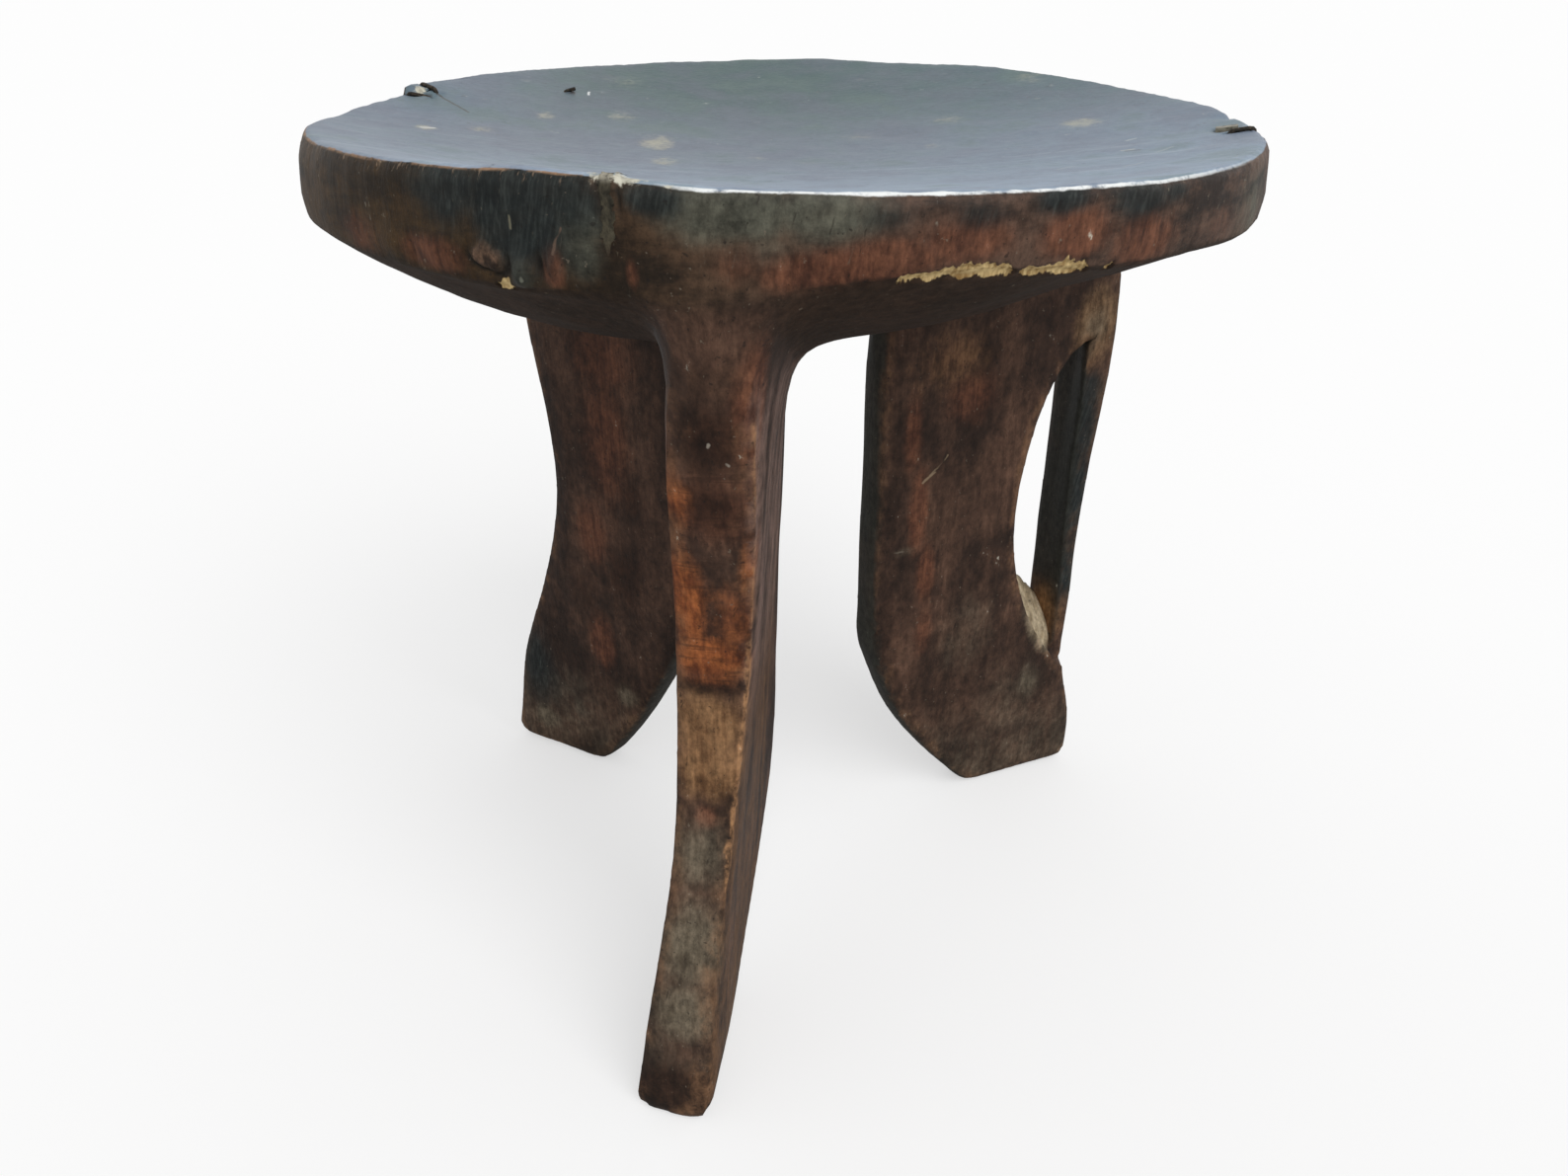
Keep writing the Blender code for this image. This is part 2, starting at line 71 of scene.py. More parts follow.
# Sizes of the seat in that frame, in metres. Headings are degrees from +X towards +Y.
SEAT_RADIUS = 0.162
CREST_HEIGHT = 0.3315
CREST_SADDLE = 0.002
RIM_WALL = 0.0225
RIM_ROUND = 0.0025

# Spacing of the skins' points, and the part of the rim where it is halved
SKIN_CELL = 0.0027
FILLER_CELL = 0.0006
FINE_RADIUS = 0.1525
FINE_HEIGHT = 0.3045

# How the sockets are closed: the metal repairs' plugs are sunk, and the filler's plug is grown
PLUG_DROP = 0.0022
PLUG_GROWTH = 0.0005

# The filler in the front split: its middle's heading, half of its width in millimetres, how far its middle
# stands out and how far its borders sink
FILLER_MIDDLE = 254.7
FILLER_HALF = 2.1
FILLER_PROUD = 0.0003
FILLER_SUNK = 0.0014

# Least height of the feet over the floor
FLOOR_GAP = 0.0001

# Rise of the real rim's crest over the even one, in millimetres by heading. It steps at the two splits.
BACK_SPLIT = 159.3
FRONT_SPLIT = 255.7
CREST_RISE = (
    (0, -0.6), (10, 0.4), (28, -0.4), (38, 0.4), (54, 0.9), (73, -0.3), (86, 0.2), (100, -0.6), (120, 0.0),
    (132, 1.1), (148, 1.7), (BACK_SPLIT - 0.2, 2.3), (BACK_SPLIT + 0.4, -0.9), (178, -1.2), (188, 0.3),
    (198, 1.1), (208, 1.6), (219, 2.3), (226, 2.2), (233, 2.9), (240, 3.0), (246, 3.7),
    (FRONT_SPLIT - 0.2, 3.3), (FRONT_SPLIT + 0.2, 2.3), (259, 1.6), (263, 0.7), (270, 0.5), (280, -0.3),
    (290, -0.2), (308, -1.0), (340, -0.9), (360, -0.3),
)

# How much lower the rim's lower edge hangs than the even one, in millimetres by heading
HEM_DROP = (
    (0, 0.6), (14, 0.0), (215, 0.0), (230, 2.5), (242, 4.0), (254, 4.0), (264, 1.5), (272, 0.0), (281, -1.6),
    (290, -2.0), (297, -0.6), (305, 0.0), (316, -0.2), (322, 0.5), (329, 1.5), (340, 1.5), (360, 0.6),
)

# How much higher the belly is just below the rim, in millimetres by heading
BELLY_RISE = (
    (0, 0.0), (205, 0.0), (214, 1.1), (233, 1.2), (242, 0.3), (250, 0.0), (292, 0.0), (302, 3.0), (313, 3.2),
    (322, 1.8), (335, 0.0), (360, 0.0),
)

# The left end of the rim leans out to its lower edge, and the right end is drawn in.
LEFT_END = 203
LEFT_SPREAD = 25
LEFT_BULGE = 0.0006
LEFT_TUCK = 0.0012
RIGHT_TUCK = 0.0011

# The nick in the crest at the right split
NOTCH_HEADING = 1.5
NOTCH_WIDTH = 1.5
NOTCH_DEPTH = 0.002

# How much the front leg's left side swells, in millimetres by height
FRONT_LEG_SWELL = ((105, 0.0), (150, 1.3), (203, 1.8), (248, 2.9), (268, 3.2), (290, 1.6), (305, 0.0))

# The strut's directions into the finger hole and to the front, and how far its inner face lies against the
# first one, in millimetres
STRUT_INWARD = np.array((-0.89, -0.45, 0))
STRUT_FORWARD = np.array((0.45, -0.89, 0))
STRUT_INNER = 145.9

# Where the strut's front face lies along STRUT_FORWARD, in millimetres by height
STRUT_FRONT = ((102, 3.4), (135, 4.0), (165, 4.7), (185, 6.2), (205, 8.2), (217, 9.4), (230, 10.2))

# How far the strut's front edge reaches into the finger hole, in millimetres by height
STRUT_EDGE = ((110, 0.0), (150, 1.0), (200, 2.6), (219, 4.4), (230.5, 4.4), (232.5, 0.0))


class Swell(NamedTuple):
    """A soft swelling of the wood, in millimetres."""

    place: tuple
    reach: tuple
    push: tuple


# Swellings of the feet, of the strut's outer side and of the right leg's heel
FOOT_SWELLS = (
    Swell((-26, -138, 12), (9, 40, 30), (1.9, 0.0, 0.0)),
    Swell((-38, -153, 2), (24, 10, 14), (0.0, -2.2, 0.0)),
    Swell((141, 66, 22), (10, 14, 30), (2.6, 0.0, 0.0)),
    Swell((137, 66, 92), (8, 12, 24), (1.5, 0.0, 0.0)),
    Swell((-133, 82, 50), (12, 14, 40), (-2.0, 0.0, 0.0)),
    Swell((-140, 87, 4), (9, 10, 10), (-2.2, 0.0, 0.0)),
    Swell((35, 24, 100), (9, 10, 13), (-2.0, 0.0, 0.0)),
)


class Chip(NamedTuple):
    """A run of torn edge under the rim, between two headings, with its height in millimetres."""

    start: float
    end: float
    height: float


# The torn edge: its depth in millimetres, and its runs
CHIP_DEPTH = 0.9
CHIPS = (
    Chip(-79.5, -69.3, 2.1),
    Chip(-67.8, -61.0, 2.2),
    Chip(-58.6, -57.6, 1.1),
    Chip(-117.6, -115.9, 1.6),
    Chip(66.0, 71.0, 1.6),
    Chip(171.0, 175.0, 1.4),
)


class Blot(NamedTuple):
    """A soft patch on the wood, in millimetres."""

    place: tuple
    reach: tuple
    strength: float


def rim_place(heading, drop, inset=0):
    """Place on the even rim, in millimetres, from its heading, its drop below the crest and its inset."""
    turn = math.radians(heading)
    radius = SEAT_RADIUS - inset / 1000
    height = CREST_HEIGHT - CREST_SADDLE * math.cos(2 * turn) - drop / 1000
    local = Vector((radius * math.cos(turn), radius * math.sin(turn), height))
    return tuple(1000 * (SEAT_FRAME @ local))


# Lumps, and dents with painted shade in them. Their strength is a height or depth in millimetres.
KNOT = Blot(rim_place(242.1, 17.5), (5.6, 5.6, 2.1), 1.2)
KNOT_GROOVE = 0.8
LUMPS = (
    Blot(rim_place(245.7, 20.4), (2.9, 2.9, 3.4), 2.8),
    Blot(rim_place(249.0, 17.5), (1.6, 1.6, 5.0), 0.8),
    Blot(rim_place(252.4, 19.0), (3.0, 3.0, 4.0), 0.9),
    Blot(rim_place(236.0, 18.0), (6.0, 6.0, 3.4), 0.9),
    Blot(rim_place(229.0, 18.5), (5.0, 5.0, 3.0), 0.7),
    Blot(rim_place(279.0, 5.0), (10.0, 8.0, 4.0), 0.5),
)
DENTS = (
    Blot(rim_place(244.3, 20.5), (1.2, 1.2, 2.6), 1.5),
    Blot(rim_place(247.6, 19.4), (1.2, 1.2, 3.6), 1.7),
    Blot(rim_place(246.0, 24.0), (3.4, 3.4, 1.1), 1.0),
    Blot(rim_place(250.6, 20.5), (0.9, 0.9, 3.4), 1.0),
    Blot(rim_place(254.6, 19.0), (2.2, 2.2, 2.2), 0.8),
    Blot(rim_place(255.9, 6.0), (0.7, 0.7, 6.5), 0.9),
    Blot(rim_place(253.5, 9.0), (0.6, 0.6, 6.0), 0.6),
    Blot(rim_place(232.5, 19.5), (1.2, 1.2, 2.4), 0.8),
)

# The slope at the lower end of the finger hole, how far it is filled in metres, and a tan patch there that is
# partly painted light
HOLE_FLOOR = Blot((118, 66, 90), (20, 16, 26), 1.0)
HOLE_FILL = np.array((0.005, 0, 0.003))
HOLE_PAINTED_LIGHT = Blot((126, 73, 86), (10, 12, 18), 1.1)

STAINS = {
    "ruddy": (
        Blot((8, -160, 311), (15, 10, 6), 1.0),
        Blot((25, -158, 313), (16, 10, 7), 1.0),
        Blot((44, -155, 317), (18, 12, 8), 0.8),
        Blot((73, -144, 317), (12, 10, 7), 1.0),
        Blot((95, -130, 313), (14, 12, 8), 0.9),
        Blot((120, -105, 313), (18, 18, 7), 0.35),
        Blot(rim_place(235.0, 18.8), (13, 10, 4.0), 0.85),
        Blot(rim_place(249.0, 19.0), (3.5, 3.5, 4.5), 1.1),
        Blot(rim_place(256.6, 19.5), (2.0, 3.0, 4.0), 1.1),
        Blot(rim_place(266.0, 17.0), (8, 6, 6), 0.6),
        Blot((-118, -111, 311), (14, 14, 6), 0.5),
        Blot((-8, -150, 272), (7, 6, 20), 1.1),
        Blot((-10, -147, 250), (4, 5, 12), 0.6),
        Blot((-32, -141, 256), (6, 6, 14), 0.9),
        Blot((-20, -147, 240), (14, 8, 14), 0.75),
        Blot((-27, -132, 123), (4, 4, 5), 0.9),
        Blot((-79, 43, 228), (26, 16, 22), 0.65),
        Blot((-80, 44, 190), (16, 12, 34), 0.75),
        Blot((-91, 52, 141), (10, 10, 18), 0.85),
        Blot((-91, 54, 81), (8, 8, 16), 1.0),
        Blot((53, 19, 202), (5, 5, 18), 0.8),
        Blot((57, 22, 165), (5, 5, 20), 1.0),
        Blot((62, 25, 134), (5, 5, 16), 0.9),
        Blot((63, 26, 102), (6, 6, 16), 0.6),
        Blot((78, 31, 215), (16, 12, 14), 0.7),
        Blot((70, 27, 232), (28, 16, 14), 0.4),
    ),
    "soot": (
        Blot((-86, -137, 325), (16, 12, 9), 0.9),
        Blot((-66, -147, 322), (18, 10, 12), 1.1),
        Blot((-50, -151, 325), (14, 8, 8), 0.9),
        Blot(rim_place(258.8, 4.0), (9, 6, 4.5), 1.0),
        Blot(rim_place(278.5, 6.0), (12, 8, 5), 0.55),
        Blot(rim_place(287.0, 6.0), (12, 8, 5), 0.6),
        Blot((68, -147, 326), (10, 8, 4), 0.9),
        Blot((92, -133, 325), (14, 10, 5), 1.0),
        Blot((102, -126, 325), (8, 8, 4), 0.8),
        Blot((-20, -149, 264), (9, 9, 14), 0.85),
        Blot((-21, -147, 242), (10, 8, 12), 0.75),
        Blot((-23, -133, 176), (16, 8, 4), 1.0),
        Blot((-69, 38, 165), (8, 9, 20), 0.6),
        Blot((-76, 43, 124), (16, 12, 20), 0.75),
        Blot((-100, 60, 105), (16, 12, 16), 0.6),
        Blot((-130, 80, 52), (15, 14, 30), 0.8),
        Blot((84, 32, 232), (10, 8, 12), 0.5),
        Blot((135, 60, 206), (9, 10, 11), 1.1),
        Blot((134, 60, 188), (9, 10, 22), 1.2),
        Blot((135, 63, 155), (9, 10, 24), 1.1),
        Blot((136, 65, 115), (8, 9, 22), 0.9),
    ),
    "moss": (
        Blot((-15, -161, 325), (20, 8, 7), 1.0),
        Blot((10, -161, 325), (15, 8, 7), 0.9),
        Blot((-4, -161, 317), (18, 8, 6), 0.4),
        Blot((139, -82, 315), (20, 22, 14), 0.6),
        Blot(rim_place(245.7, 20.2), (3.6, 3.6, 4.4), 0.9),
        Blot(rim_place(252.0, 13.0), (7, 6, 9), 0.9),
        Blot((-112, 70, 42), (26, 16, 24), 0.4),
    ),
    "gold": (
        Blot((-29, -143, 245), (5, 4, 10), 0.7),
        Blot((-29, -137, 206), (6, 5, 26), 1.0),
        Blot((-15, -138, 200), (8, 5, 18), 0.6),
        Blot((-23, -134, 187), (13, 6, 9), 1.0),
        Blot((-10, -141, 222), (4, 4, 26), 0.7),
    ),
    "tan": (
        Blot((-26, -131, 160), (14, 9, 13), 1.0),
        Blot((-24, -132, 143), (14, 9, 13), 1.0),
        Blot((70, 27, 232), (32, 16, 18), 0.4),
        Blot((134, 56, 237), (11, 11, 16), 1.0),
        # Tan in the finger hole, partly painted light.
        HOLE_PAINTED_LIGHT,
    ),
    "dust": (
        Blot((-31, -134, 108), (13, 9, 16), 0.8),
        Blot((-34, -142, 74), (14, 10, 22), 1.0),
        Blot((-37, -147, 48), (14, 10, 14), 1.0),
        Blot((110, 50, 40), (34, 20, 40), 0.4),
        Blot((85, 36, 96), (22, 15, 26), 0.4),
        Blot((120, 54, 57), (10, 8, 12), 0.7),
        Blot((51, 19, 147), (9, 6, 3), 0.5),
        Blot((-128, 80, 19), (12, 10, 9), 0.9),
        Blot((-80, 49, 52), (7, 6, 8), 0.8),
        Blot((134, 56, 237), (11, 11, 16), 0.75),
    ),
    "grime": (
        Blot((-40, -151, 8), (26, 16, 17), 1.2),
        Blot((-109, 68, 8), (24, 18, 7), 0.5),
    ),
    "spots": (
        Blot((-48, 21, 317), (6.5, 14, 20), 0.9),
        Blot((-42, -15, 316), (6, 14, 20), 0.6),
        Blot((-129, 4, 325), (4, 6, 20), 0.9),
        Blot((-112, 14, 323), (6, 8, 20), 0.5),
        Blot((-94, 49, 323), (4, 8, 20), 0.6),
        Blot((-66, 62, 322), (8, 12, 20), 0.5),
        Blot((65, 59, 320), (8, 10, 20), 0.5),
        Blot((112, 30, 322), (8, 9, 20), 0.8),
        Blot((29, 38, 317), (12, 10, 20), 0.4),
        Blot((55, 17, 316), (5, 8, 20), 0.4),
        Blot((8, -10, 314), (5, 8, 20), 0.4),
        Blot((-11, 1, 314), (6, 8, 20), 0.4),
        Blot((-71, 115, 330), (12, 14, 20), 0.4),
        Blot((105, 110, 331), (12, 14, 20), 0.4),
    ),
    "paste": (
        Blot(rim_place(253.8, 0.8, 3), (4.0, 5.0, 1.8), 0.75),
        Blot(rim_place(256.6, 0.6, 2), (5.0, 5.0, 1.5), 0.7),
        Blot(rim_place(260.2, 0.5, 1), (2.0, 2.0, 1.0), 0.75),
        # This one, between the left staples, is pale bare wood and partly a painted highlight.
        Blot(rim_place(158.8, 1.0, 8), (2.4, 3.4, 3.0), 1.0),
    ),
}

# Light scratches and specks, and two painted highlights on the lump beside the knot: where each starts and
# ends, its width and its colour
SCRATCHES = (
    ((58.5, 22.0, 179.0), (63.5, 24.5, 183.0), 0.8, (0.3, 0.22, 0.14)),
    ((61.5, 23.5, 182.0), (69.0, 27.0, 190.0), 0.7, (0.26, 0.19, 0.12)),
    ((47.0, 18.0, 147.5), (58.0, 22.0, 146.5), 0.6, (0.13, 0.105, 0.08)),
    (rim_place(282.8, 8.0), rim_place(283.0, 8.9), 0.8, (0.42, 0.38, 0.3)),
    ((-21.0, -149.5, 262.5), (-20.7, -149.5, 263.3), 0.8, (0.33, 0.29, 0.24)),
    ((-16.0, -148.5, 257.6), (-15.4, -148.5, 257.0), 0.7, (0.33, 0.29, 0.24)),
    (rim_place(225.6, 10.0), rim_place(225.7, 11.0), 0.6, (0.36, 0.32, 0.25)),
    (rim_place(226.1, 13.2), rim_place(226.2, 14.2), 0.6, (0.36, 0.32, 0.25)),
    ((-67.6, -146.8, 322.2), (-67.9, -146.8, 319.4), 0.6, (0.17, 0.16, 0.11)),
    ((-54.7, -151.9, 320.4), (-57.2, -150.6, 314.0), 0.5, (0.13, 0.085, 0.062)),
    # These two are painted highlights on the lump beside the knot.
    ((-65.4, -149.6, 310.0), (-66.0, -148.4, 306.4), 0.7, (0.19, 0.195, 0.155)),
    ((-62.8, -149.6, 307.8), (-64.6, -148.4, 305.4), 0.7, (0.26, 0.25, 0.2)),
    (rim_place(298.6, 10.0), rim_place(298.0, 13.0), 0.5, (0.16, 0.1, 0.06)),
    (rim_place(318.0, 9.0), rim_place(317.2, 11.5), 0.6, (0.24, 0.19, 0.13)),
)
SEAT_MARKS = (
    ((-143.0, 63.0), (-122.0, 40.0), 0.7, (0.06, 0.055, 0.045)),
    ((-130.0, 3.5), (-126.5, 6.0), 1.2, (0.72, 0.72, 0.7)),
    ((-83.0, 88.5), (-83.0, 93.0), 0.7, (0.76, 0.76, 0.76)),
    ((112.0, -31.5), (116.0, -30.5), 0.8, (0.42, 0.43, 0.39)),
    ((113.0, -33.0), (117.0, -32.5), 0.8, (0.06, 0.06, 0.056)),
    ((84.0, -62.0), (90.0, -57.0), 0.8, (0.275, 0.32, 0.35)),
    ((103.0, -69.0), (110.0, -63.0), 0.8, (0.275, 0.32, 0.35)),
    ((120.0, -42.0), (127.0, -36.0), 0.8, (0.275, 0.32, 0.35)),
    ((118.0, -12.0), (122.0, -9.0), 0.8, (0.4, 0.44, 0.45)),
)

# Light of the studio. The floor and the sky look white without lighting the stool any more for it.
FLOOR_COLOUR = (0.5, 0.5, 0.5)
FLOOR_LIFT = 0.5
SKY_FILL = 0.6
LAMP_STRENGTH = 1.8
LAMP_SOFTNESS = 50
LAMP_TURN = (50, 0, 28)
FLOOR_HALF = 60

# The photo's point of view in the seat's frame: its place, its tilt and roll in degrees, and its lens and
# sensor in millimetres
VIEW_PLACE = (0, -0.4432, 0.38663)
VIEW_TILT = 29.3
VIEW_ROLL = 0.25
VIEW_LENS = 27.0
VIEW_SENSOR = 36


def smoothstep(low, high, values):
    """A soft rise from 0 at the first bound to 1 at the second."""
    share = np.clip((values - low) / (high - low), 0, 1)
    return share * share * (3 - 2 * share)


class Wire:
    """One socket of a node tree, for use in Python expressions."""

    def __init__(self, tree, socket=None):
        self.tree = tree
        self.socket = socket

    def node(self, kind, settings, inputs, output=0):
        """Adds a node: its settings first, then the value or link of each input."""
        made = self.tree.nodes.new(kind)
        for name, value in settings.items():
            setattr(made, name, value)
        for name, value in inputs.items():
            socket = made.inputs[name]
            if isinstance(value, Wire):
                self.tree.links.new(value.socket, socket)
            elif socket.type == "RGBA":
                socket.default_value = (*value, 1)
            else:
                socket.default_value = value
        return Wire(self.tree, made.outputs[output]) if made.outputs else None

    def maths(self, operation, *others):
        """A Math node, or a Vector Math node where one of the terms is a vector."""
        terms = (self, *others)
        if any(isinstance(term, Wire) and term.socket.type in ("VECTOR", "RGBA") for term in terms):
            kind = "ShaderNodeVectorMath"
            terms = [(term,) * 3 if isinstance(term, (int, float)) else term for term in terms]
        else:
            kind = "ShaderNodeMath"
        return self.node(kind, {"operation": operation}, dict(enumerate(terms)))

    def __add__(self, other):
        return self.maths("ADD", other)

    __radd__ = __add__

    def __sub__(self, other):
        return self.maths("SUBTRACT", other)

    def __rsub__(self, other):
        return (self * -1) + other

    def __mul__(self, other):
        return self.maths("MULTIPLY", other)

    __rmul__ = __mul__

    def __truediv__(self, other):
        return self.maths("DIVIDE", other)

    def between(self, low, high):
        """0 below low, 1 above high, with a soft rise between them."""
        return self.node(
            "ShaderNodeMapRange",
            {"interpolation_type": "SMOOTHSTEP"},
            {"Value": self, "From Min": low, "From Max": high},
        )

    def part(self, index):
        return self.node("ShaderNodeSeparateXYZ", {}, {0: self}, index)

    def noise(self, scale, detail=4.0, roughness=0.55):
        """Noise on this vector, stretched by the scale's three values."""
        return self.node(
            "ShaderNodeTexNoise",
            {"noise_dimensions": "3D"},
            {"Vector": self * scale, "Scale": 1.0, "Detail": detail, "Roughness": roughness},
        )

    def near_line(self, start, end, width):
        """1 on a straight line between two places in millimetres, 0 from that width away."""
        start, end = Vector(start).to_3d() / 1000, Vector(end).to_3d() / 1000
        run = end - start
        offset = self - tuple(start)
        per_length = tuple(run / run.length_squared)
        dot = {"operation": "DOT_PRODUCT"}
        along = self.node("ShaderNodeVectorMath", dot, {0: offset, 1: per_length}, "Value")
        along = self.node("ShaderNodeClamp", {}, {"Value": along})
        foot = self.node("ShaderNodeVectorMath", {"operation": "SCALE"}, {0: tuple(run), "Scale": along})
        gap = self.node("ShaderNodeVectorMath", {"operation": "DISTANCE"}, {0: offset, 1: foot}, "Value")
        return 1 - gap.between(0.4 * width / 1000, width / 1000)


class Finish:
    """A material and the start of its node tree."""

    def __init__(self, name):
        self.material = bpy.data.materials.new(name)
        self.material.use_nodes = True
        tree = self.material.node_tree
        self.shader = tree.nodes["Principled BSDF"]
        self.start = Wire(tree)
        self.place = self.start.node("ShaderNodeTexCoord", {}, {}, "Object")

    def attribute(self, name):
        return self.start.node("ShaderNodeAttribute", {"attribute_name": name}, {}, "Fac")

    def mix(self, share, first, second):
        """Colour that goes from the first to the second by the share."""
        return self.start.node("ShaderNodeMix", {"data_type": "RGBA"}, {0: share, 6: first, 7: second}, 2)

    def mottled(self, noise, dark, light, low=0.34, high=0.64):
        """Colour that goes from dark to light with a noise."""
        return self.mix(noise.between(low, high), dark, light)

    def bump(self, height, depth, strength):
        inputs = {"Height": height, "Distance": depth, "Strength": strength}
        return self.start.node("ShaderNodeBump", {}, inputs)

    def join(self, inputs):
        """Sets or links the shader's own sockets."""
        for name, value in inputs.items():
            if isinstance(value, Wire):
                self.start.tree.links.new(value.socket, self.shader.inputs[name])
            else:
                self.shader.inputs[name].default_value = value
        return self.material


class WoodFinish(Finish):
    """The whole log's finish, from the seat's painted sheen to the dusty feet, in layers of colour, with
    painted light and shade among them.
    """

    def __init__(self):
        super().__init__("carved_wood")
        place = self.place
        self.cloud = place.noise((34, 34, 22), 8, 0.62)
        self.ragged = place.noise((130, 130, 100), 7, 0.68)
        self.streak = place.noise((130, 130, 9), 5, 0.6)
        self.fibre = place.noise((620, 620, 36), 4, 0.6)
        self.fine = place.noise((330, 330, 210), 6, 0.72)
        self.fleck = place.noise((520, 520, 520), 2)
        self.grime = place.noise((30, 30, 80), 8, 0.68)
        self.across = place.noise((34, 34, 520), 4, 0.65)
        tilted = self.start.node(
            "ShaderNodeVectorRotate", {"rotation_type": "Y_AXIS"}, {"Vector": place, "Angle": -0.25}
        )
        self.hatch = tilted.noise((950, 950, 55), 3)
        self.strokes = tilted.noise((560, 560, 75), 3, 0.7)
        self.on_rim = self.attribute("rim")
        self.edge = self.attribute("edge")
        cut = (self.edge + (self.ragged - 0.5) * 1.5).between(0.9, 1.6)
        self.seat = self.attribute("seat") * (1 - cut)

    def patch(self, name, reach=0.7, low=0.16, high=0.78):
        """A stain's share of the colour, with a ragged edge."""
        share = self.attribute(name)
        uneven = self.ragged * 0.6 + self.cloud * 0.4 - 0.5
        return (share + uneven * reach).between(low, high)

    def bare_log(self):
        """Brown of the legs and of the rim's wall."""
        tone = self.cloud * 0.6 + self.streak * 0.2 + self.ragged * 0.2
        legs = self.mottled(tone, (0.025, 0.014, 0.0098), (0.084, 0.044, 0.0285), 0.4, 0.61)
        pale = (self.cloud + self.fibre * 0.5).between(0.76, 0.98)
        legs = self.mix(pale * 0.5, legs, (0.14, 0.076, 0.049))
        left = self.mottled(self.grime, (0.015, 0.009, 0.0038), (0.049, 0.027, 0.0102), 0.38, 0.6)
        right = self.mottled(self.grime, (0.024, 0.0165, 0.013), (0.1, 0.059, 0.041), 0.38, 0.6)
        rim = self.mix(self.place.part(0).between(-0.09, 0.05), left, right)
        return self.mix(self.on_rim, legs, rim)

    def stained(self, wood):
        """Red, green, black and golden patches, then dust, and dirt over it."""
        red = self.mottled(
            self.fibre * 0.5 + self.ragged * 0.5, (0.062, 0.022, 0.013), (0.185, 0.072, 0.038), 0.34, 0.66
        )
        wood = self.mix(self.patch("ruddy") * 0.8, wood, red)
        moss = self.mottled(
            self.grime * 0.6 + self.ragged * 0.4, (0.032, 0.033, 0.025), (0.112, 0.115, 0.087), 0.38, 0.62
        )
        wood = self.mix(self.patch("moss") * 0.85, wood, moss)
        char = self.mottled(self.ragged, (0.012, 0.0056, 0.0036), (0.038, 0.0168, 0.0098), 0.35, 0.65)
        soot = self.mottled(self.hatch, (0.01, 0.014, 0.0145), (0.033, 0.04, 0.0375), 0.4, 0.76)
        right = self.place.part(0)
        on_strut = right.between(0.118, 0.126)
        on_left_foot = 1 - right.between(-0.12, -0.1)
        cool = self.on_rim.maths("MAXIMUM", on_strut).maths("MAXIMUM", on_left_foot)
        wood = self.mix(self.patch("soot") * 0.9, wood, self.mix(cool, char, soot))
        worn = self.fibre * 0.4 + self.ragged * 0.6
        gold = self.mottled(worn, (0.115, 0.03, 0.0105), (0.36, 0.113, 0.034))
        wood = self.mix(self.patch("gold", 1.0) * 0.9, wood, gold)
        tan = self.mottled(worn, (0.112, 0.053, 0.0225), (0.3, 0.163, 0.076))
        wood = self.mix(self.patch("tan") * 0.95, wood, tan)
        dust = self.mottled(worn, (0.072, 0.057, 0.038), (0.18, 0.148, 0.104), 0.34, 0.66)
        wood = self.mix(self.patch("dust", 0.8, 0.1, 0.95) * 0.9, wood, dust)
        wood = self.mix(self.patch("grime") * 0.9, wood, char * 0.75)
        pale = self.mottled(self.ragged, (0.25, 0.19, 0.115), (0.48, 0.395, 0.27), 0.32, 0.62)
        return self.mix(self.patch("bare", 0.45, 0.1, 0.85), wood, pale)

    def worn(self, wood):
        """Tool marks, painted sheen on the front leg's side, painted shade on hidden faces, rubbed edges, the
        knot, and painted shade in its groove and the dents.
        """
        marks = self.across.between(0.52, 0.64) * self.ragged.between(0.35, 0.55) * self.attribute("adzed")
        wood = self.mix(marks * 0.5, wood, (0.026, 0.012, 0.008))
        # Painted sheen on the front leg's right side, paler higher up.
        side = self.attribute("side") * (self.streak * 0.6 + self.ragged * 0.4).between(0.36, 0.6)
        high = self.place.part(2).between(0.14, 0.2)
        side_sheen = self.mix(high, (0.13, 0.067, 0.033), (0.215, 0.137, 0.112))
        wood = self.mix(side * 0.85, wood, side_sheen)
        # Painted shade on faces turned to the stool's middle, and on downward faces.
        wood = self.mix(self.attribute("inner") * 0.85, wood, (0.033, 0.0335, 0.0275))
        wood = self.mix(self.attribute("under") * 0.8, wood, (0.0315, 0.019, 0.0118))
        arris = self.attribute("arris") * (self.ragged * 0.7 + self.cloud * 0.5).between(0.52, 0.74)
        wood = self.mix(arris * 0.6, wood, (0.19, 0.1, 0.052))
        broken = (self.ragged + self.fine * 0.6).between(0.62, 0.92)
        line = self.attribute("front_arris").between(0.35, 0.7) * broken
        wood = self.mix(line * 0.85, wood, (0.34, 0.18, 0.085))
        speckle = self.fine * 0.6 + self.ragged * 0.4
        knot = self.mottled(speckle, (0.03, 0.018, 0.012), (0.14, 0.082, 0.052), 0.38, 0.62)
        wood = self.mix(self.attribute("knot") * 0.9, wood, knot)
        # Painted shade in the knot's groove and in the dents.
        wood = self.mix(self.attribute("crevice_shade").between(0.15, 0.85) * 0.85, wood, (0.0085, 0.007, 0.0055))
        return wood

    def scuffed(self, wood):
        """Fine grain, pale strokes and pits."""
        wood = wood * (self.fine.between(0.15, 0.85) * 1.2 + 0.4)
        wood = self.mix(self.strokes.between(0.66, 0.76) * self.on_rim * 0.3, wood, (0.15, 0.133, 0.1))
        wood = self.mix((1 - self.strokes.between(0.28, 0.36)) * 0.55, wood, (0.013, 0.009, 0.007))
        wood = self.mix(self.fleck.between(0.7, 0.76) * 0.5, wood, (0.19, 0.155, 0.115))
        return self.mix((1 - self.fleck.between(0.27, 0.33)) * 0.6, wood, (0.01, 0.008, 0.007))

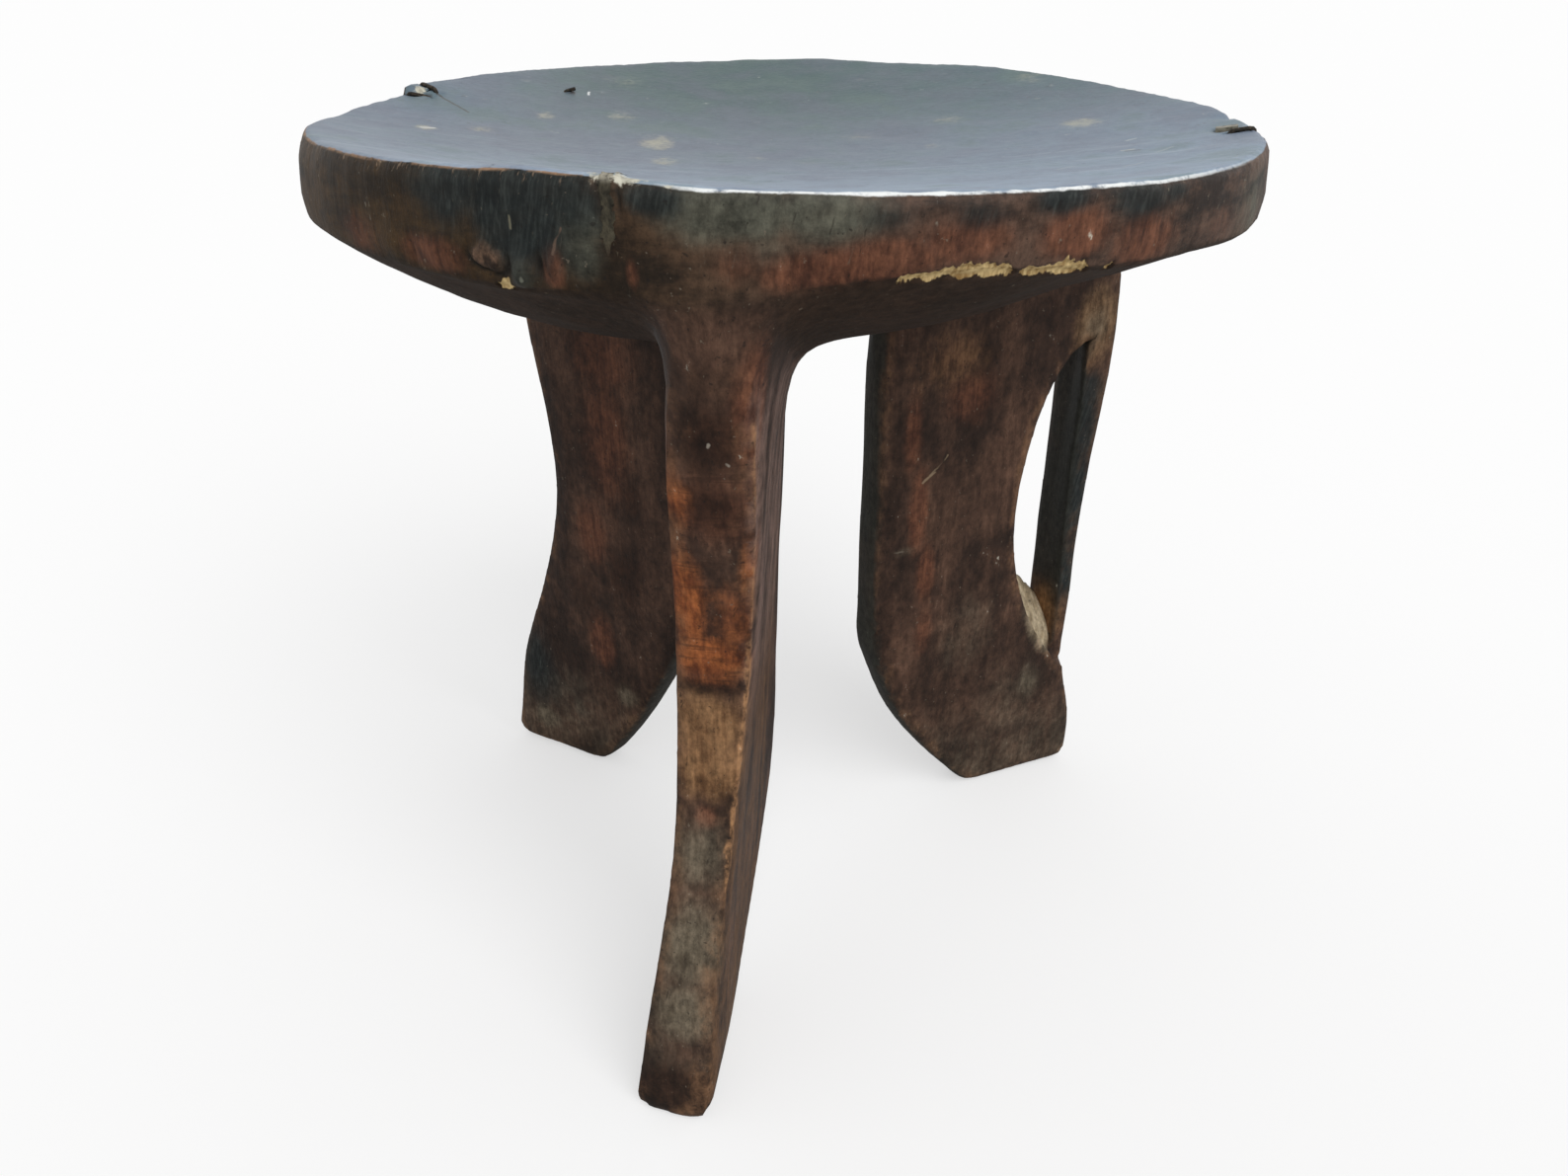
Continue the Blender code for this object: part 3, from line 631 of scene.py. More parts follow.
    def painted_seat_sheen(self):
        """Painted blue-grey sheen of the seat, a reflection painted paler to the front, with frosty strokes
        of it, smudges and pits.
        """
        right, forward = self.place.part(0), self.place.part(1)
        # The seat's blue-grey is a painted reflection, paler to the front.
        painted_sheen = self.mix(forward.between(-0.13, 0.02), (0.285, 0.356, 0.448), (0.132, 0.165, 0.206))
        painted_sheen = self.mix(forward.between(0.0, 0.12), painted_sheen, (0.048, 0.09, 0.092))
        painted_sheen = self.mix((1 - right.between(-0.14, -0.03)) * 0.2, painted_sheen, (0.225, 0.26, 0.275))
        painted_sheen = self.mix((1 - right.between(-0.15, -0.08)) * 0.7, painted_sheen, (0.125, 0.17, 0.225))
        bluer = right.between(-0.02, 0.13) * (0.4 - 0.25 * forward.between(-0.02, 0.08))
        painted_sheen = self.mix(bluer, painted_sheen, (0.18, 0.268, 0.37))
        painted_sheen = self.mix(self.cloud.between(0.42, 0.64) * 0.35, painted_sheen, (0.11, 0.112, 0.162))
        painted_sheen = self.mix((1 - self.cloud.between(0.34, 0.5)) * 0.4, painted_sheen, (0.085, 0.135, 0.12))
        frost = self.place.noise((14, 190, 60), 5, 0.6).between(0.54, 0.72)
        frost = frost * (1 - forward.between(-0.1, 0.06))
        painted_sheen = self.mix(frost * 0.4, painted_sheen, (0.4, 0.47, 0.54))
        painted_sheen = self.mix(self.ragged.between(0.6, 0.72) * 0.3, painted_sheen, (0.3, 0.32, 0.32))
        spots = self.attribute("spots")
        smudge = (spots * 0.9 + (self.fine * 0.5 + self.ragged * 0.5 - 0.5) * 2.2).between(0.15, 0.9)
        painted_sheen = self.mix(smudge * spots.between(0.1, 0.5) * 0.6, painted_sheen, (0.48, 0.44, 0.31))
        painted_sheen = painted_sheen * (self.fine * 0.6 + 0.7)
        pits = (self.ragged * 0.5 + self.fleck * 0.5).between(0.6, 0.68)
        return self.mix(pits * 0.5, painted_sheen, (0.04, 0.042, 0.042))

    def edged(self, wood):
        """The crest's worn line at the left, a painted highlight along its front, and the torn edge below."""
        rubbed = self.edge.between(0.7, 1.2) * (1 - (self.edge + self.fine).between(2.0, 3.0))
        worn_side = self.attribute("worn_side")
        rubbed = rubbed * (self.ragged * 0.8 + self.fine * 0.5).between(0.54, 0.78) * worn_side
        wood = self.mix(rubbed * 0.9, wood, (0.33, 0.2, 0.12))
        below = self.edge.between(0.8, 1.4) * (1 - self.edge.between(3.2, 5.4))
        nicks = self.strokes.between(0.58, 0.66) * below * worn_side
        wood = self.mix(nicks * 0.5, wood, (0.3, 0.215, 0.145))
        # A near-white painted highlight along the crest's front.
        painted_highlight = self.edge.between(0.1, 0.7) * (1 - (self.edge + self.fine * 1.4).between(2.1, 3.0))
        painted_highlight = painted_highlight * (self.ragged + self.fine * 0.4).between(0.5, 0.74) * self.attribute("highlight_side")
        wood = self.mix(painted_highlight, wood, (0.84, 0.86, 0.85))
        crumbs = (self.attribute("paste") + (self.fine + self.ragged - 1) * 1.5).between(0.36, 0.62)
        paste = self.mottled(self.fine, (0.3, 0.28, 0.22), (0.6, 0.58, 0.48))
        wood = self.mix(crumbs, wood, paste)
        small_tears = (self.place.noise((340, 340, 160), 4, 0.66) - 0.5) * 3.8
        large_tears = (self.place.noise((150, 150, 70), 3) - 0.5) * 4
        self.torn = (self.attribute("chip") + (small_tears + large_tears)).between(-0.2, 0.25)
        splinters = self.fibre * 0.5 + self.ragged * 0.5
        cream = self.mottled(splinters, (0.27, 0.16, 0.058), (0.78, 0.59, 0.29), 0.36, 0.62)
        return self.mix(self.torn, wood, cream)

    def marked(self, wood):
        """Single scratches and specks, two of them painted highlights."""
        inputs = {"Vector": self.place, "Scale": 140.0, "Detail": 3.0}
        jitter = self.start.node("ShaderNodeTexNoise", {}, inputs, "Color")
        wobble = self.place + (jitter - 0.5) * 0.0022
        plan = wobble * (1, 1, 0)
        for start, end, width, colour in SCRATCHES:
            wood = self.mix(wobble.near_line(start, end, width) * 0.75, wood, colour)
        for start, end, width, colour in SEAT_MARKS:
            wood = self.mix(plan.near_line(start, end, width) * self.seat * 0.8, wood, colour)
        return wood


def carved_wood():
    paint = WoodFinish()
    wood = paint.scuffed(paint.worn(paint.stained(paint.bare_log())))
    # The seat gets its painted sheen over the wood.
    wood = paint.mix(paint.seat, wood, paint.painted_seat_sheen())
    wood = paint.marked(paint.edged(wood))
    dry = 0.25 * paint.attribute("under") + 0.3 * paint.attribute("dust") + 0.3 * paint.torn
    rough = 0.54 - 0.06 * paint.seat + dry + (paint.ragged - 0.5) * 0.2
    height = paint.fibre * 0.4 + paint.ragged * 0.6 + paint.fine * 0.5
    height = height + paint.across * 0.25 + paint.strokes * 0.3
    return paint.join(
        {
            "Base Color": wood,
            "Roughness": rough,
            "Normal": paint.bump(height, 0.0006, 0.65),
            "Specular IOR Level": 0.16,
            "Coat Weight": 0.14 * paint.seat,
            "Coat Roughness": 0.3,
        }
    )


def rusty_iron():
    """Wire of the staples and the nail."""
    paint = Finish("rusty_iron")
    bloom = paint.place.noise((900, 900, 900), 5, 0.65)
    crust = paint.place.noise((2600, 2600, 2600), 3)
    colour = paint.mottled(bloom, (0.013, 0.012, 0.0095), (0.05, 0.034, 0.02), 0.4, 0.65)
    return paint.join(
        {
            "Base Color": colour,
            "Roughness": 0.45 + bloom * 0.4,
            "Metallic": 0.75 - bloom.between(0.45, 0.7) * 0.65,
            "Normal": paint.bump(crust, 0.0002, 0.6),
        }
    )


def dull_aluminium():
    """The flat strap over the right-hand split."""
    paint = Finish("dull_aluminium")
    scuff = paint.place.noise((1500, 300, 1500), 4, 0.6)
    stain = paint.place.noise((420, 420, 420), 4)
    colour = paint.mottled(stain, (0.27, 0.25, 0.195), (0.08, 0.068, 0.047), 0.42, 0.68)
    return paint.join(
        {
            "Base Color": colour,
            "Roughness": 0.35 + scuff * 0.35,
            "Metallic": 0.85 - stain.between(0.45, 0.7) * 0.5,
            "Normal": paint.bump(scuff, 0.00015, 0.5),
        }
    )


def split_filler():
    """The sliver and dry paste in the front split."""
    paint = Finish("split_filler")
    fibre = paint.place.noise((600, 600, 40), 4, 0.6)
    crumb = paint.place.noise((330, 330, 180), 6, 0.68)
    colour = paint.mottled(crumb, (0.017, 0.0148, 0.0103), (0.08, 0.069, 0.045), 0.36, 0.64)
    height = paint.place.part(2)
    colour = paint.mix((1 - height.between(0.312, 0.32)) * 0.6, colour, (0.05, 0.027, 0.017))
    pasted = height.between(0.3312, 0.3335) * crumb.between(0.34, 0.55)
    colour = paint.mix(pasted * 0.8, colour, (0.43, 0.4, 0.32))
    return paint.join(
        {
            "Base Color": colour,
            "Roughness": 0.65 + crumb * 0.25,
            "Normal": paint.bump(fibre * 0.4 + crumb, 0.0008, 0.8),
            "Specular IOR Level": 0.2,
        }
    )


def hand_work_tree():
    """Geometry nodes that give a smooth skin the shallow hollows and ripples of hand tools."""
    tree = bpy.data.node_groups.new("hand_work", "GeometryNodeTree")
    sockets = tree.interface
    sockets.new_socket("Skin", in_out="INPUT", socket_type="NodeSocketGeometry")
    depths_and_sizes = {
        "Hollow Depth": 0.0011,
        "Hollow Size": 0.03,
        "Ripple Depth": 0.00035,
        "Ripple Size": 0.009,
    }
    for name, value in depths_and_sizes.items():
        sockets.new_socket(name, in_out="INPUT", socket_type="NodeSocketFloat").default_value = value
    sockets.new_socket("Finish", in_out="INPUT", socket_type="NodeSocketMaterial")
    sockets.new_socket("Skin", in_out="OUTPUT", socket_type="NodeSocketGeometry")
    start = Wire(tree)

    def given(name):
        return start.node("NodeGroupInput", {}, {}, name)

    position = start.node("GeometryNodeInputPosition", {}, {})
    normal = start.node("GeometryNodeInputNormal", {}, {})

    def waves(kind, stretch):
        """Noise along the skin, drawn out along the log's grain, as a signed depth."""
        return ((position / given(kind + " Size")).noise((1, 1, stretch), 1.0) - 0.5) * given(kind + " Depth")

    offset = normal * (waves("Hollow", 0.6) + waves("Ripple", 0.35))
    skin = start.node("GeometryNodeSetPosition", {}, {"Geometry": given("Skin"), "Offset": offset})
    skin = start.node("GeometryNodeRealizeInstances", {}, {0: skin})
    skin = start.node("GeometryNodeSetMaterial", {}, {"Geometry": skin, "Material": given("Finish")})
    start.node("NodeGroupOutput", {}, {0: skin})
    return tree


def evaluated_mesh(obj):
    bpy.context.view_layer.update()
    shown = obj.evaluated_get(bpy.context.evaluated_depsgraph_get())
    return bpy.data.meshes.new_from_object(shown)


def merged_mesh(meshes, name):
    """One mesh of several, with their shared points merged."""
    bm = bmesh.new()
    for mesh in meshes:
        bm.from_mesh(mesh)
    bmesh.ops.remove_doubles(bm, verts=bm.verts, dist=1e-6)
    joined = bpy.data.meshes.new(name)
    bm.to_mesh(joined)
    bm.free()
    return joined


def tight_plug(mesh):
    """The filler's mesh, grown to the walls of its socket but not out of it."""
    bm = bmesh.new()
    bm.from_mesh(mesh)
    bmesh.ops.remove_doubles(bm, verts=bm.verts, dist=1e-6)
    bm.normal_update()
    turn = math.radians(FILLER_MIDDLE)
    outward = Vector((math.cos(turn), math.sin(turn), 0))
    moves = [vert.normal * (vert.calc_shell_factor() * PLUG_GROWTH) for vert in bm.verts]
    for vert, move in zip(bm.verts, moves):
        move -= outward * max(move.dot(outward), 0)
        move.z = min(move.z, 0)
        vert.co += move
    plug = bpy.data.meshes.new("plug")
    bm.to_mesh(plug)
    bm.free()
    return plug


def filled_body():
    """The log's mesh with the filler's socket filled."""
    body = bpy.data.objects.new("body", merged_mesh([frame["nodes"]["stool_body"].data], "body"))
    plug = bpy.data.objects.new("plug", tight_plug(frame["nodes"]["rim_split_filler"].data))
    for obj in (body, plug):
        bpy.context.scene.collection.objects.link(obj)
    fill = body.modifiers.new("fill", "BOOLEAN")
    fill.operation = "UNION"
    fill.object = plug
    mesh = evaluated_mesh(body)
    for obj in (body, plug):
        bpy.data.objects.remove(obj)
    return mesh


def plugged_log():
    """The log's mesh, with its sockets closed by the repairs that sit in them."""
    meshes = [filled_body()]
    for name, node in frame["nodes"].items():
        if name not in ("stool_body", "rim_split_filler"):
            mesh = node.data.copy()
            mesh.transform(Matrix.Translation((0, 0, -PLUG_DROP)))
            meshes.append(mesh)
    return merged_mesh(meshes, "log_skin")


def add_even_skin(obj, cell):
    """Adds the modifier that covers an object with small even faces."""
    size = max(obj.dimensions)
    skin = obj.modifiers.new("skin", "REMESH")
    skin.mode = "SHARP"
    skin.octree_depth = math.ceil(math.log2(size / (0.9 * cell)))
    skin.scale = size / (2**skin.octree_depth * cell)
    skin.sharpness = 1.0


def points_of(mesh):
    values = np.empty(len(mesh.vertices) * 3, np.float32)
    mesh.vertices.foreach_get("co", values)
    return values.reshape(-1, 3).astype(np.float64)


def normals_of(mesh):
    values = np.empty(len(mesh.vertices) * 3, np.float32)
    mesh.vertex_normals.foreach_get("vector", values)
    return values.reshape(-1, 3).astype(np.float64)


def neighbour_mean(mesh):
    """A function that averages the points' values over each point's neighbours."""
    edges = np.empty(len(mesh.edges) * 2, np.int32)
    mesh.edges.foreach_get("vertices", edges)
    first, second = edges.reshape(-1, 2).T
    count = np.bincount(edges, minlength=len(mesh.vertices)).clip(1)

    def averaged(values):
        total = np.zeros_like(values)
        np.add.at(total, first, values[second])
        np.add.at(total, second, values[first])
        return total / count.reshape(-1, *[1] * (values.ndim - 1))

    return averaged


def seat_places(points):
    """Radius, heading in degrees and height of points in the seat's frame."""
    turn = np.array(LEAN.to_matrix())
    local = (points - np.array(SEAT_FRAME.translation)) @ turn
    radius = np.hypot(local[:, 0], local[:, 1])
    heading = np.degrees(np.arctan2(local[:, 1], local[:, 0])) % 360
    return radius, heading, local[:, 2]


def crest_height(heading):
    return CREST_HEIGHT - CREST_SADDLE * np.cos(np.radians(2 * heading))


def blot_gap(points, blot):
    """Distance of points from a blot's middle, as a share of its reach."""
    return np.linalg.norm((points * 1000 - np.array(blot.place)) / np.array(blot.reach), axis=1)


def soft_share(points, blot):
    """1 at a blot's middle, falling off softly over its reach."""
    return np.exp(-0.9 * blot_gap(points, blot) ** 2)


def stain_share(points, blots):
    """The strongest of several blots at each point."""
    shares = [blot.strength * soft_share(points, blot) for blot in blots]
    return np.maximum.reduce(shares)


def finer(mesh, wanted):
    """Splits the edges of the part of a mesh that is wanted finer."""
    bm = bmesh.new()
    bm.from_mesh(mesh)
    chosen = wanted(points_of(mesh))
    edges = [edge for edge in bm.edges if chosen[edge.verts[0].index] and chosen[edge.verts[1].index]]
    bmesh.ops.subdivide_edges(bm, edges=edges, cuts=1, use_grid_fill=True)
    bm.to_mesh(mesh)
    bm.free()


def on_rim(points):
    radius, _, height = seat_places(points)
    return (radius > FINE_RADIUS) & (height > FINE_HEIGHT)


def on_details(points):
    """The torn edge, the knot and the lumps beside it."""
    radius, heading, height = seat_places(points)
    low = crest_height(heading) - RIM_WALL
    near = np.zeros(len(points), bool)
    for chip in CHIPS:
        turn = (heading - chip.start + 180) % 360 - 180
        near |= (turn > -1.5) & (turn < chip.end - chip.start + 1.5)
    near &= (radius > 0.15) & (abs(height - low - 0.001) < 0.006)
    return near | ((heading > 238) & (heading < 258) & on_rim(points))


def chip_margin(points):
    """How far each point lies inside the torn edge, in millimetres."""
    _, heading, height = seat_places(points)
    lean = 0.0015 * np.cos(np.radians(heading - 180))
    above = (height - (crest_height(heading) - RIM_WALL - lean)) * 1000
    margin = np.full(len(points), -6.0)
    for chip in CHIPS:
        turn = (heading - chip.start + 180) % 360 - 180
        share = turn / (chip.end - chip.start)
        tall = chip.height * (0.35 + 0.65 * smoothstep(0.2, 0.5, share)) * smoothstep(1.02, 0.93, share)
        tall *= smoothstep(-0.03, 0.04, share)
        tall *= 1 + 0.22 * np.sin(3.1 * heading) + 0.16 * np.sin(7.7 * heading + 1)
        inside = np.minimum(tall - above, (above + 2.0) * 1.5)
        margin = np.maximum(margin, np.where((share > -0.05) & (share < 1.05), inside, -6.0))
    return np.clip(margin, -6, 6)


def crest_rise(radius, heading):
    """Rise of the real rim over the even one. Its steps at the splits fade towards the seat."""
    headings, rises = zip(*CREST_RISE)
    turns = np.linspace(-16, 16, 65)
    shares = np.exp(-((turns / 7) ** 2))
    eased = np.zeros_like(heading)
    for turn, share in zip(turns, shares):
        eased += share * np.interp((heading + turn) % 360, headings, rises)
    eased /= shares.sum()
    stepped = np.interp(heading, headings, rises)
    return (eased + (stepped - eased) * smoothstep(0.146, 0.16, radius)) / 1000


def rim_lift(points):
    """How far each point of the rim and of what sits on it is raised, in metres."""
    radius, heading, height = seat_places(points)
    below = crest_height(heading) - height
    weight = smoothstep(0.085, 0.15, radius) * (1 - 0.65 * smoothstep(0, RIM_WALL, below))
    weight *= 1 - smoothstep(RIM_WALL, 2.2 * RIM_WALL, below)
    return crest_rise(radius, heading) * weight * (height > 0.28)


def uneven_rim(points):
    """Moves the even rim to the real one's crest, notch and lower edge."""
    radius, heading, height = seat_places(points)
    below = crest_height(heading) - height
    outer = smoothstep(0.1, SEAT_RADIUS, radius)
    notch_turn = (heading - NOTCH_HEADING + 180) % 360 - 180
    notch = np.exp(-((notch_turn / NOTCH_WIDTH) ** 2)) * np.exp(-(((radius - SEAT_RADIUS) / 0.006) ** 2))
    hem = np.interp(heading, *zip(*HEM_DROP)) / 1000
    hem *= np.exp(-(((RIM_WALL - below) / 0.008) ** 2)) * (radius > 0.135)
    belly = np.interp(heading, *zip(*BELLY_RISE)) / 1000 * smoothstep(0.095, 0.115, radius)
    belly *= smoothstep(RIM_WALL, RIM_WALL + 0.006, below) * smoothstep(0.075, 0.048, below)
    rise = rim_lift(points) - NOTCH_DEPTH * notch * (below < 0.008) - hem + belly
    moved = points + SEAT_UP * rise[:, None]
    left_end = outer * np.exp(-(((heading - LEFT_END) / LEFT_SPREAD) ** 2)) * (height > 0.27)
    low = smoothstep(0.005, 0.016, below) * smoothstep(0.045, 0.03, below)
    moved[:, 0] -= (LEFT_BULGE * low - LEFT_TUCK * smoothstep(0.008, 0.002, below)) * left_end
    right_end = outer * np.cos(np.radians(heading)).clip(0) ** 3
    moved[:, 0] -= RIGHT_TUCK * right_end * (height > 0.29)
    return moved


def knot_shares(points):
    """The knot's uneven boss, and the groove at its sides and below it, each from 0 to 1."""
    offset = points * 1000 - np.array(KNOT.place)
    turn = np.arctan2(offset[:, 2], offset[:, 0])
    wobble = 1 + 0.14 * np.sin(2 * turn + 0.6) + 0.1 * np.sin(3 * turn) + 0.06 * np.sin(5 * turn + 2)
    gap = blot_gap(points, KNOT) * wobble
    boss = smoothstep(1.15, 0.6, gap)
    groove = np.exp(-(((gap - 1.25) / 0.2) ** 2)) * smoothstep(0.6, -0.3, np.sin(turn))
    return boss, groove


def hole_floor(points, normals):
    """1 on the slope at the lower end of the finger hole, 0 elsewhere."""
    slope = smoothstep(0.2, 0.6, normals[:, 0]) * smoothstep(0.0, 0.35, normals[:, 2])
    return slope * smoothstep(1.2, 0.7, blot_gap(points, HOLE_FLOOR))


def strut_reach(points):
    """How far the strut's front edge reaches into the finger hole, in metres."""
    high = points[:, 2] * 1000
    behind = np.interp(high, *zip(*STRUT_FRONT)) - points @ STRUT_FORWARD * 1000
    aside = -(points @ STRUT_INWARD) * 1000 - STRUT_INNER
    near = smoothstep(13, 1, behind) * smoothstep(9, 1, aside) * smoothstep(-0.8, -0.3, aside)
    return np.interp(high, *zip(*STRUT_EDGE)) / 1000 * near * (points[:, 0] > 0.12)


def carved(points, normals):
    """Moves the even skin to the real one: rim, torn edge, lumps, finger hole, front leg and feet."""
    moved = uneven_rim(points)
    boss, groove = knot_shares(points)
    out = KNOT.strength * boss - KNOT_GROOVE * groove
    out += sum(stain_share(points, [lump]) for lump in LUMPS)
    out -= sum(stain_share(points, [dent]) for dent in DENTS)
    out -= CHIP_DEPTH * smoothstep(-0.3, 0.8, chip_margin(points))
    moved += normals * (out / 1000)[:, None]
    scoop = hole_floor(points, normals) * smoothstep(0.056, 0.072, points[:, 1])
    moved += HOLE_FILL * scoop[:, None]
    bulge = np.interp(points[:, 2] * 1000, *zip(*FRONT_LEG_SWELL)) / 1000
    left_side = smoothstep(-0.016, -0.032, points[:, 0]) * smoothstep(-0.095, -0.115, points[:, 1])
    moved[:, 0] -= bulge * left_side * smoothstep(-0.075, -0.055, points[:, 0])
    moved += STRUT_INWARD * strut_reach(points)[:, None]
    for swell in FOOT_SWELLS:
        moved += np.array(swell.push) / 1000 * soft_share(points, swell)[:, None]
    return moved


def worn_feet(points, averaged):
    """Rounds the feet's corners where they rub on the floor, those of the back feet more."""
    for _ in range(3):
        share = smoothstep(0.008, 0.001, points[:, 2]) * np.where(points[:, 1] > 0, 1.0, 0.3)
        points = points + (averaged(points) - points) * share[:, None]
    points[:, 2] = np.maximum(points[:, 2], FLOOR_GAP)
    return points


def convexity(points, normals, averaged):
    """How far each point stands out from its neighbours, in millimetres."""
    smooth = points
    for _ in range(4):
        smooth = averaged(smooth)
    out = ((points - smooth) * normals).sum(1) * 1000
    for _ in range(2):
        out = 0.5 * out + 0.5 * averaged(out)
    return out


def edge_run(radius, below):
    """Way over the rim's rounding in millimetres: below 0 on the seat, above 0 on the crest and wall."""
    past = radius - (SEAT_RADIUS - RIM_ROUND)
    turned = RIM_ROUND * np.arctan2(past, RIM_ROUND - below)
    wall = RIM_ROUND * math.pi / 2 + below - RIM_ROUND
    run = np.where(past < 0, past, np.where(below < RIM_ROUND, turned, wall))
    return np.clip(1000 * run, -6, 6)


def front_leg_masks(points, normals, height):
    """Where the front leg shows its tool marks, the painted sheen of its right side and its rubbed right
    edge.
    """
    high = points[:, 2]
    on_leg = (points[:, 1] < -0.07) * smoothstep(0.29, 0.27, height) * (points[:, 0] < 0.02)
    face = smoothstep(-0.5, -0.8, normals[:, 1]) * (points[:, 1] < -0.1)
    corner = smoothstep(0.25, 0.5, normals[:, 0]) * smoothstep(-0.25, -0.5, normals[:, 1])
    along = smoothstep(0.085, 0.105, high) * (1 - 0.45 * smoothstep(0.18, 0.205, high))
    return {
        "adzed": face * smoothstep(0.16, 0.185, high) * smoothstep(0.275, 0.255, high),
        "side": on_leg * smoothstep(0.45, 0.75, normals[:, 0]),
        "front_arris": on_leg * corner * along,
    }


def paint_masks(mesh):
    """Gives each point of the skin its share of every stain and kind of wear."""
    points, normals, averaged = points_of(mesh), normals_of(mesh), neighbour_mean(mesh)
    radius, heading, height = seat_places(points)
    below = crest_height(heading) - height
    from_middle = np.hypot(points[:, 0], points[:, 1]).clip(1e-4)
    towards_middle = -(points[:, :2] * normals[:, :2]).sum(1) / from_middle
    masks = {name: stain_share(points, blots) for name, blots in STAINS.items()}
    masks["dust"] = np.maximum(masks["dust"], 0.45 * (1 - smoothstep(0.0, 0.1, points[:, 2])))
    dished = below < 0.005 + 0.017 * smoothstep(0.156, 0.12, radius)
    masks["seat"] = smoothstep(0.3, 0.55, normals[:, 2]) * dished
    masks["edge"] = np.where(dished, edge_run(radius, below), 6)
    masks["worn_side"] = smoothstep(256, 251, heading) * smoothstep(165, 185, heading)
    # Where the crest carries its painted highlight
    masks["highlight_side"] = smoothstep(257.5, 263.5, heading) * smoothstep(335, 300, heading)
    masks["rim"] = smoothstep(0.3, 0.31, height) * smoothstep(0.148, 0.156, radius)
    # Painted shade on downward faces and on faces turned to the stool's middle, but not on the finger hole's
    # painted light.
    masks["under"] = smoothstep(-0.35, -0.75, normals[:, 2]) * (height > 0.2)
    masks["inner"] = smoothstep(0.35, 0.75, towards_middle) * smoothstep(0.3, 0.28, height)
    masks["inner"] *= 1 - stain_share(points, [HOLE_PAINTED_LIGHT]).clip(0, 1)
    bare = hole_floor(points, normals)
    for _ in range(6):
        bare = averaged(bare)
    masks["bare"] = bare
    standing_out = smoothstep(0.25, 0.7, convexity(points, normals, averaged))
    masks["arris"] = standing_out * (1 - masks["seat"]) * (height < 0.29) * (1 - masks["inner"])
    masks["arris"] *= 1 - 0.8 * masks["soot"].clip(0, 1)
    masks["chip"] = chip_margin(points)
    masks["knot"], groove = knot_shares(points)
    # Painted shade in the knot's groove and in the dents
    masks["crevice_shade"] = np.maximum(0.9 * groove, stain_share(points, DENTS))
    masks.update(front_leg_masks(points, normals, height))
    return masks


def placed(piece, node):
    """Puts a finished piece on the stool's body, in place of its solid."""
    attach(piece, "root")
    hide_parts(node)


def carved_log(finish):
    """The stool's one piece of wood."""
    log = bpy.data.objects.new("carved_log", plugged_log())
    bpy.context.scene.collection.objects.link(log)
    add_even_skin(log, SKIN_CELL)
    ease = log.modifiers.new("ease", "SMOOTH")
    ease.factor = 0.4
    ease.iterations = 1
    work = log.modifiers.new("hand_work", "NODES")
    work.node_group = hand_work_tree()
    for item in work.node_group.interface.items_tree:
        if item.name == "Finish":
            work[item.identifier] = finish
    mesh = evaluated_mesh(log)
    log.modifiers.clear()
    finer(mesh, on_rim)
    finer(mesh, on_details)
    mesh.update()
    masks = paint_masks(mesh)
    moved = worn_feet(carved(points_of(mesh), normals_of(mesh)), neighbour_mean(mesh))
    mesh.vertices.foreach_set("co", moved.astype(np.float32).ravel())
    for name, values in masks.items():
        layer = mesh.attributes.new(name, "FLOAT", "POINT")
        layer.data.foreach_set("value", values.astype(np.float32))
    mesh.shade_smooth()
    mesh.update()
    log.data = mesh
    placed(log, "stool_body")


def torn_sliver(points):
    """Sinks the filler's borders and its lower end unevenly below the wood."""
    radius, heading, height = seat_places(points)
    across = np.radians(heading - FILLER_MIDDLE) * SEAT_RADIUS * 1000
    drop = (crest_height(heading) - height) * 1000
    half = FILLER_HALF - 0.3 * np.sin(1.9 * drop) - 0.25 * np.sin(4.3 * drop + 1)
    border = smoothstep(half - 0.5, half + 0.1, abs(across + 0.35 * np.sin(0.6 * drop)))
    end = smoothstep(14.0, 17.0, drop + 1.2 * np.sin(2.4 * across))
    sunk = np.maximum(border, end)
    outward = (points - np.array(SEAT_FRAME.translation)) * (1, 1, 0)
    outward /= np.linalg.norm(outward, axis=1)[:, None]
    push = (FILLER_PROUD - (FILLER_PROUD + FILLER_SUNK) * sunk) * smoothstep(0.15, 0.161, radius)
    return points + outward * push[:, None]


def add_filler(finish):
    """The sliver in the front split."""
    name = "rim_split_filler"
    sliver = bpy.data.objects.new("split_filler", merged_mesh([frame["nodes"][name].data], "sliver"))
    bpy.context.scene.collection.objects.link(sliver)
    add_even_skin(sliver, FILLER_CELL)
    mesh = evaluated_mesh(sliver)
    sliver.modifiers.clear()
    moved = uneven_rim(torn_sliver(points_of(mesh)))
    mesh.vertices.foreach_set("co", moved.astype(np.float32).ravel())
    mesh.materials.clear()
    mesh.materials.append(finish)
    mesh.shade_smooth()
    mesh.update()
    sliver.data = mesh
    placed(sliver, name)


def add_repair(name, finish):
    """A metal repair, raised or lowered with the wood that it sits in."""
    mesh = merged_mesh([frame["nodes"][name].data], name)
    points = points_of(mesh)
    top = points[points[:, 2] > points[:, 2].max() - 0.002]
    points[:, 2] += rim_lift(top.mean(0, keepdims=True))
    mesh.vertices.foreach_set("co", points.astype(np.float32).ravel())
    mesh.materials.clear()
    mesh.materials.append(finish)
    mesh.shade_smooth()
    mesh.set_sharp_from_angle(angle=math.radians(40))
    piece = bpy.data.objects.new(name + "_settled", mesh)
    bpy.context.scene.collection.objects.link(piece)
    placed(piece, name)


def pale_floor():
    material = bpy.data.materials.new("pale_floor")
    material.use_nodes = True
    material.node_tree.nodes.clear()
    start = Wire(material.node_tree)
    matte = start.node("ShaderNodeBsdfDiffuse", {}, {"Color": FLOOR_COLOUR})
    seen = start.node("ShaderNodeLightPath", {}, {}, "Is Camera Ray")
    lift = start.node("ShaderNodeEmission", {}, {"Strength": seen * FLOOR_LIFT})
    both = start.node("ShaderNodeAddShader", {}, {0: matte, 1: lift})
    start.node("ShaderNodeOutputMaterial", {}, {"Surface": both})
    return material


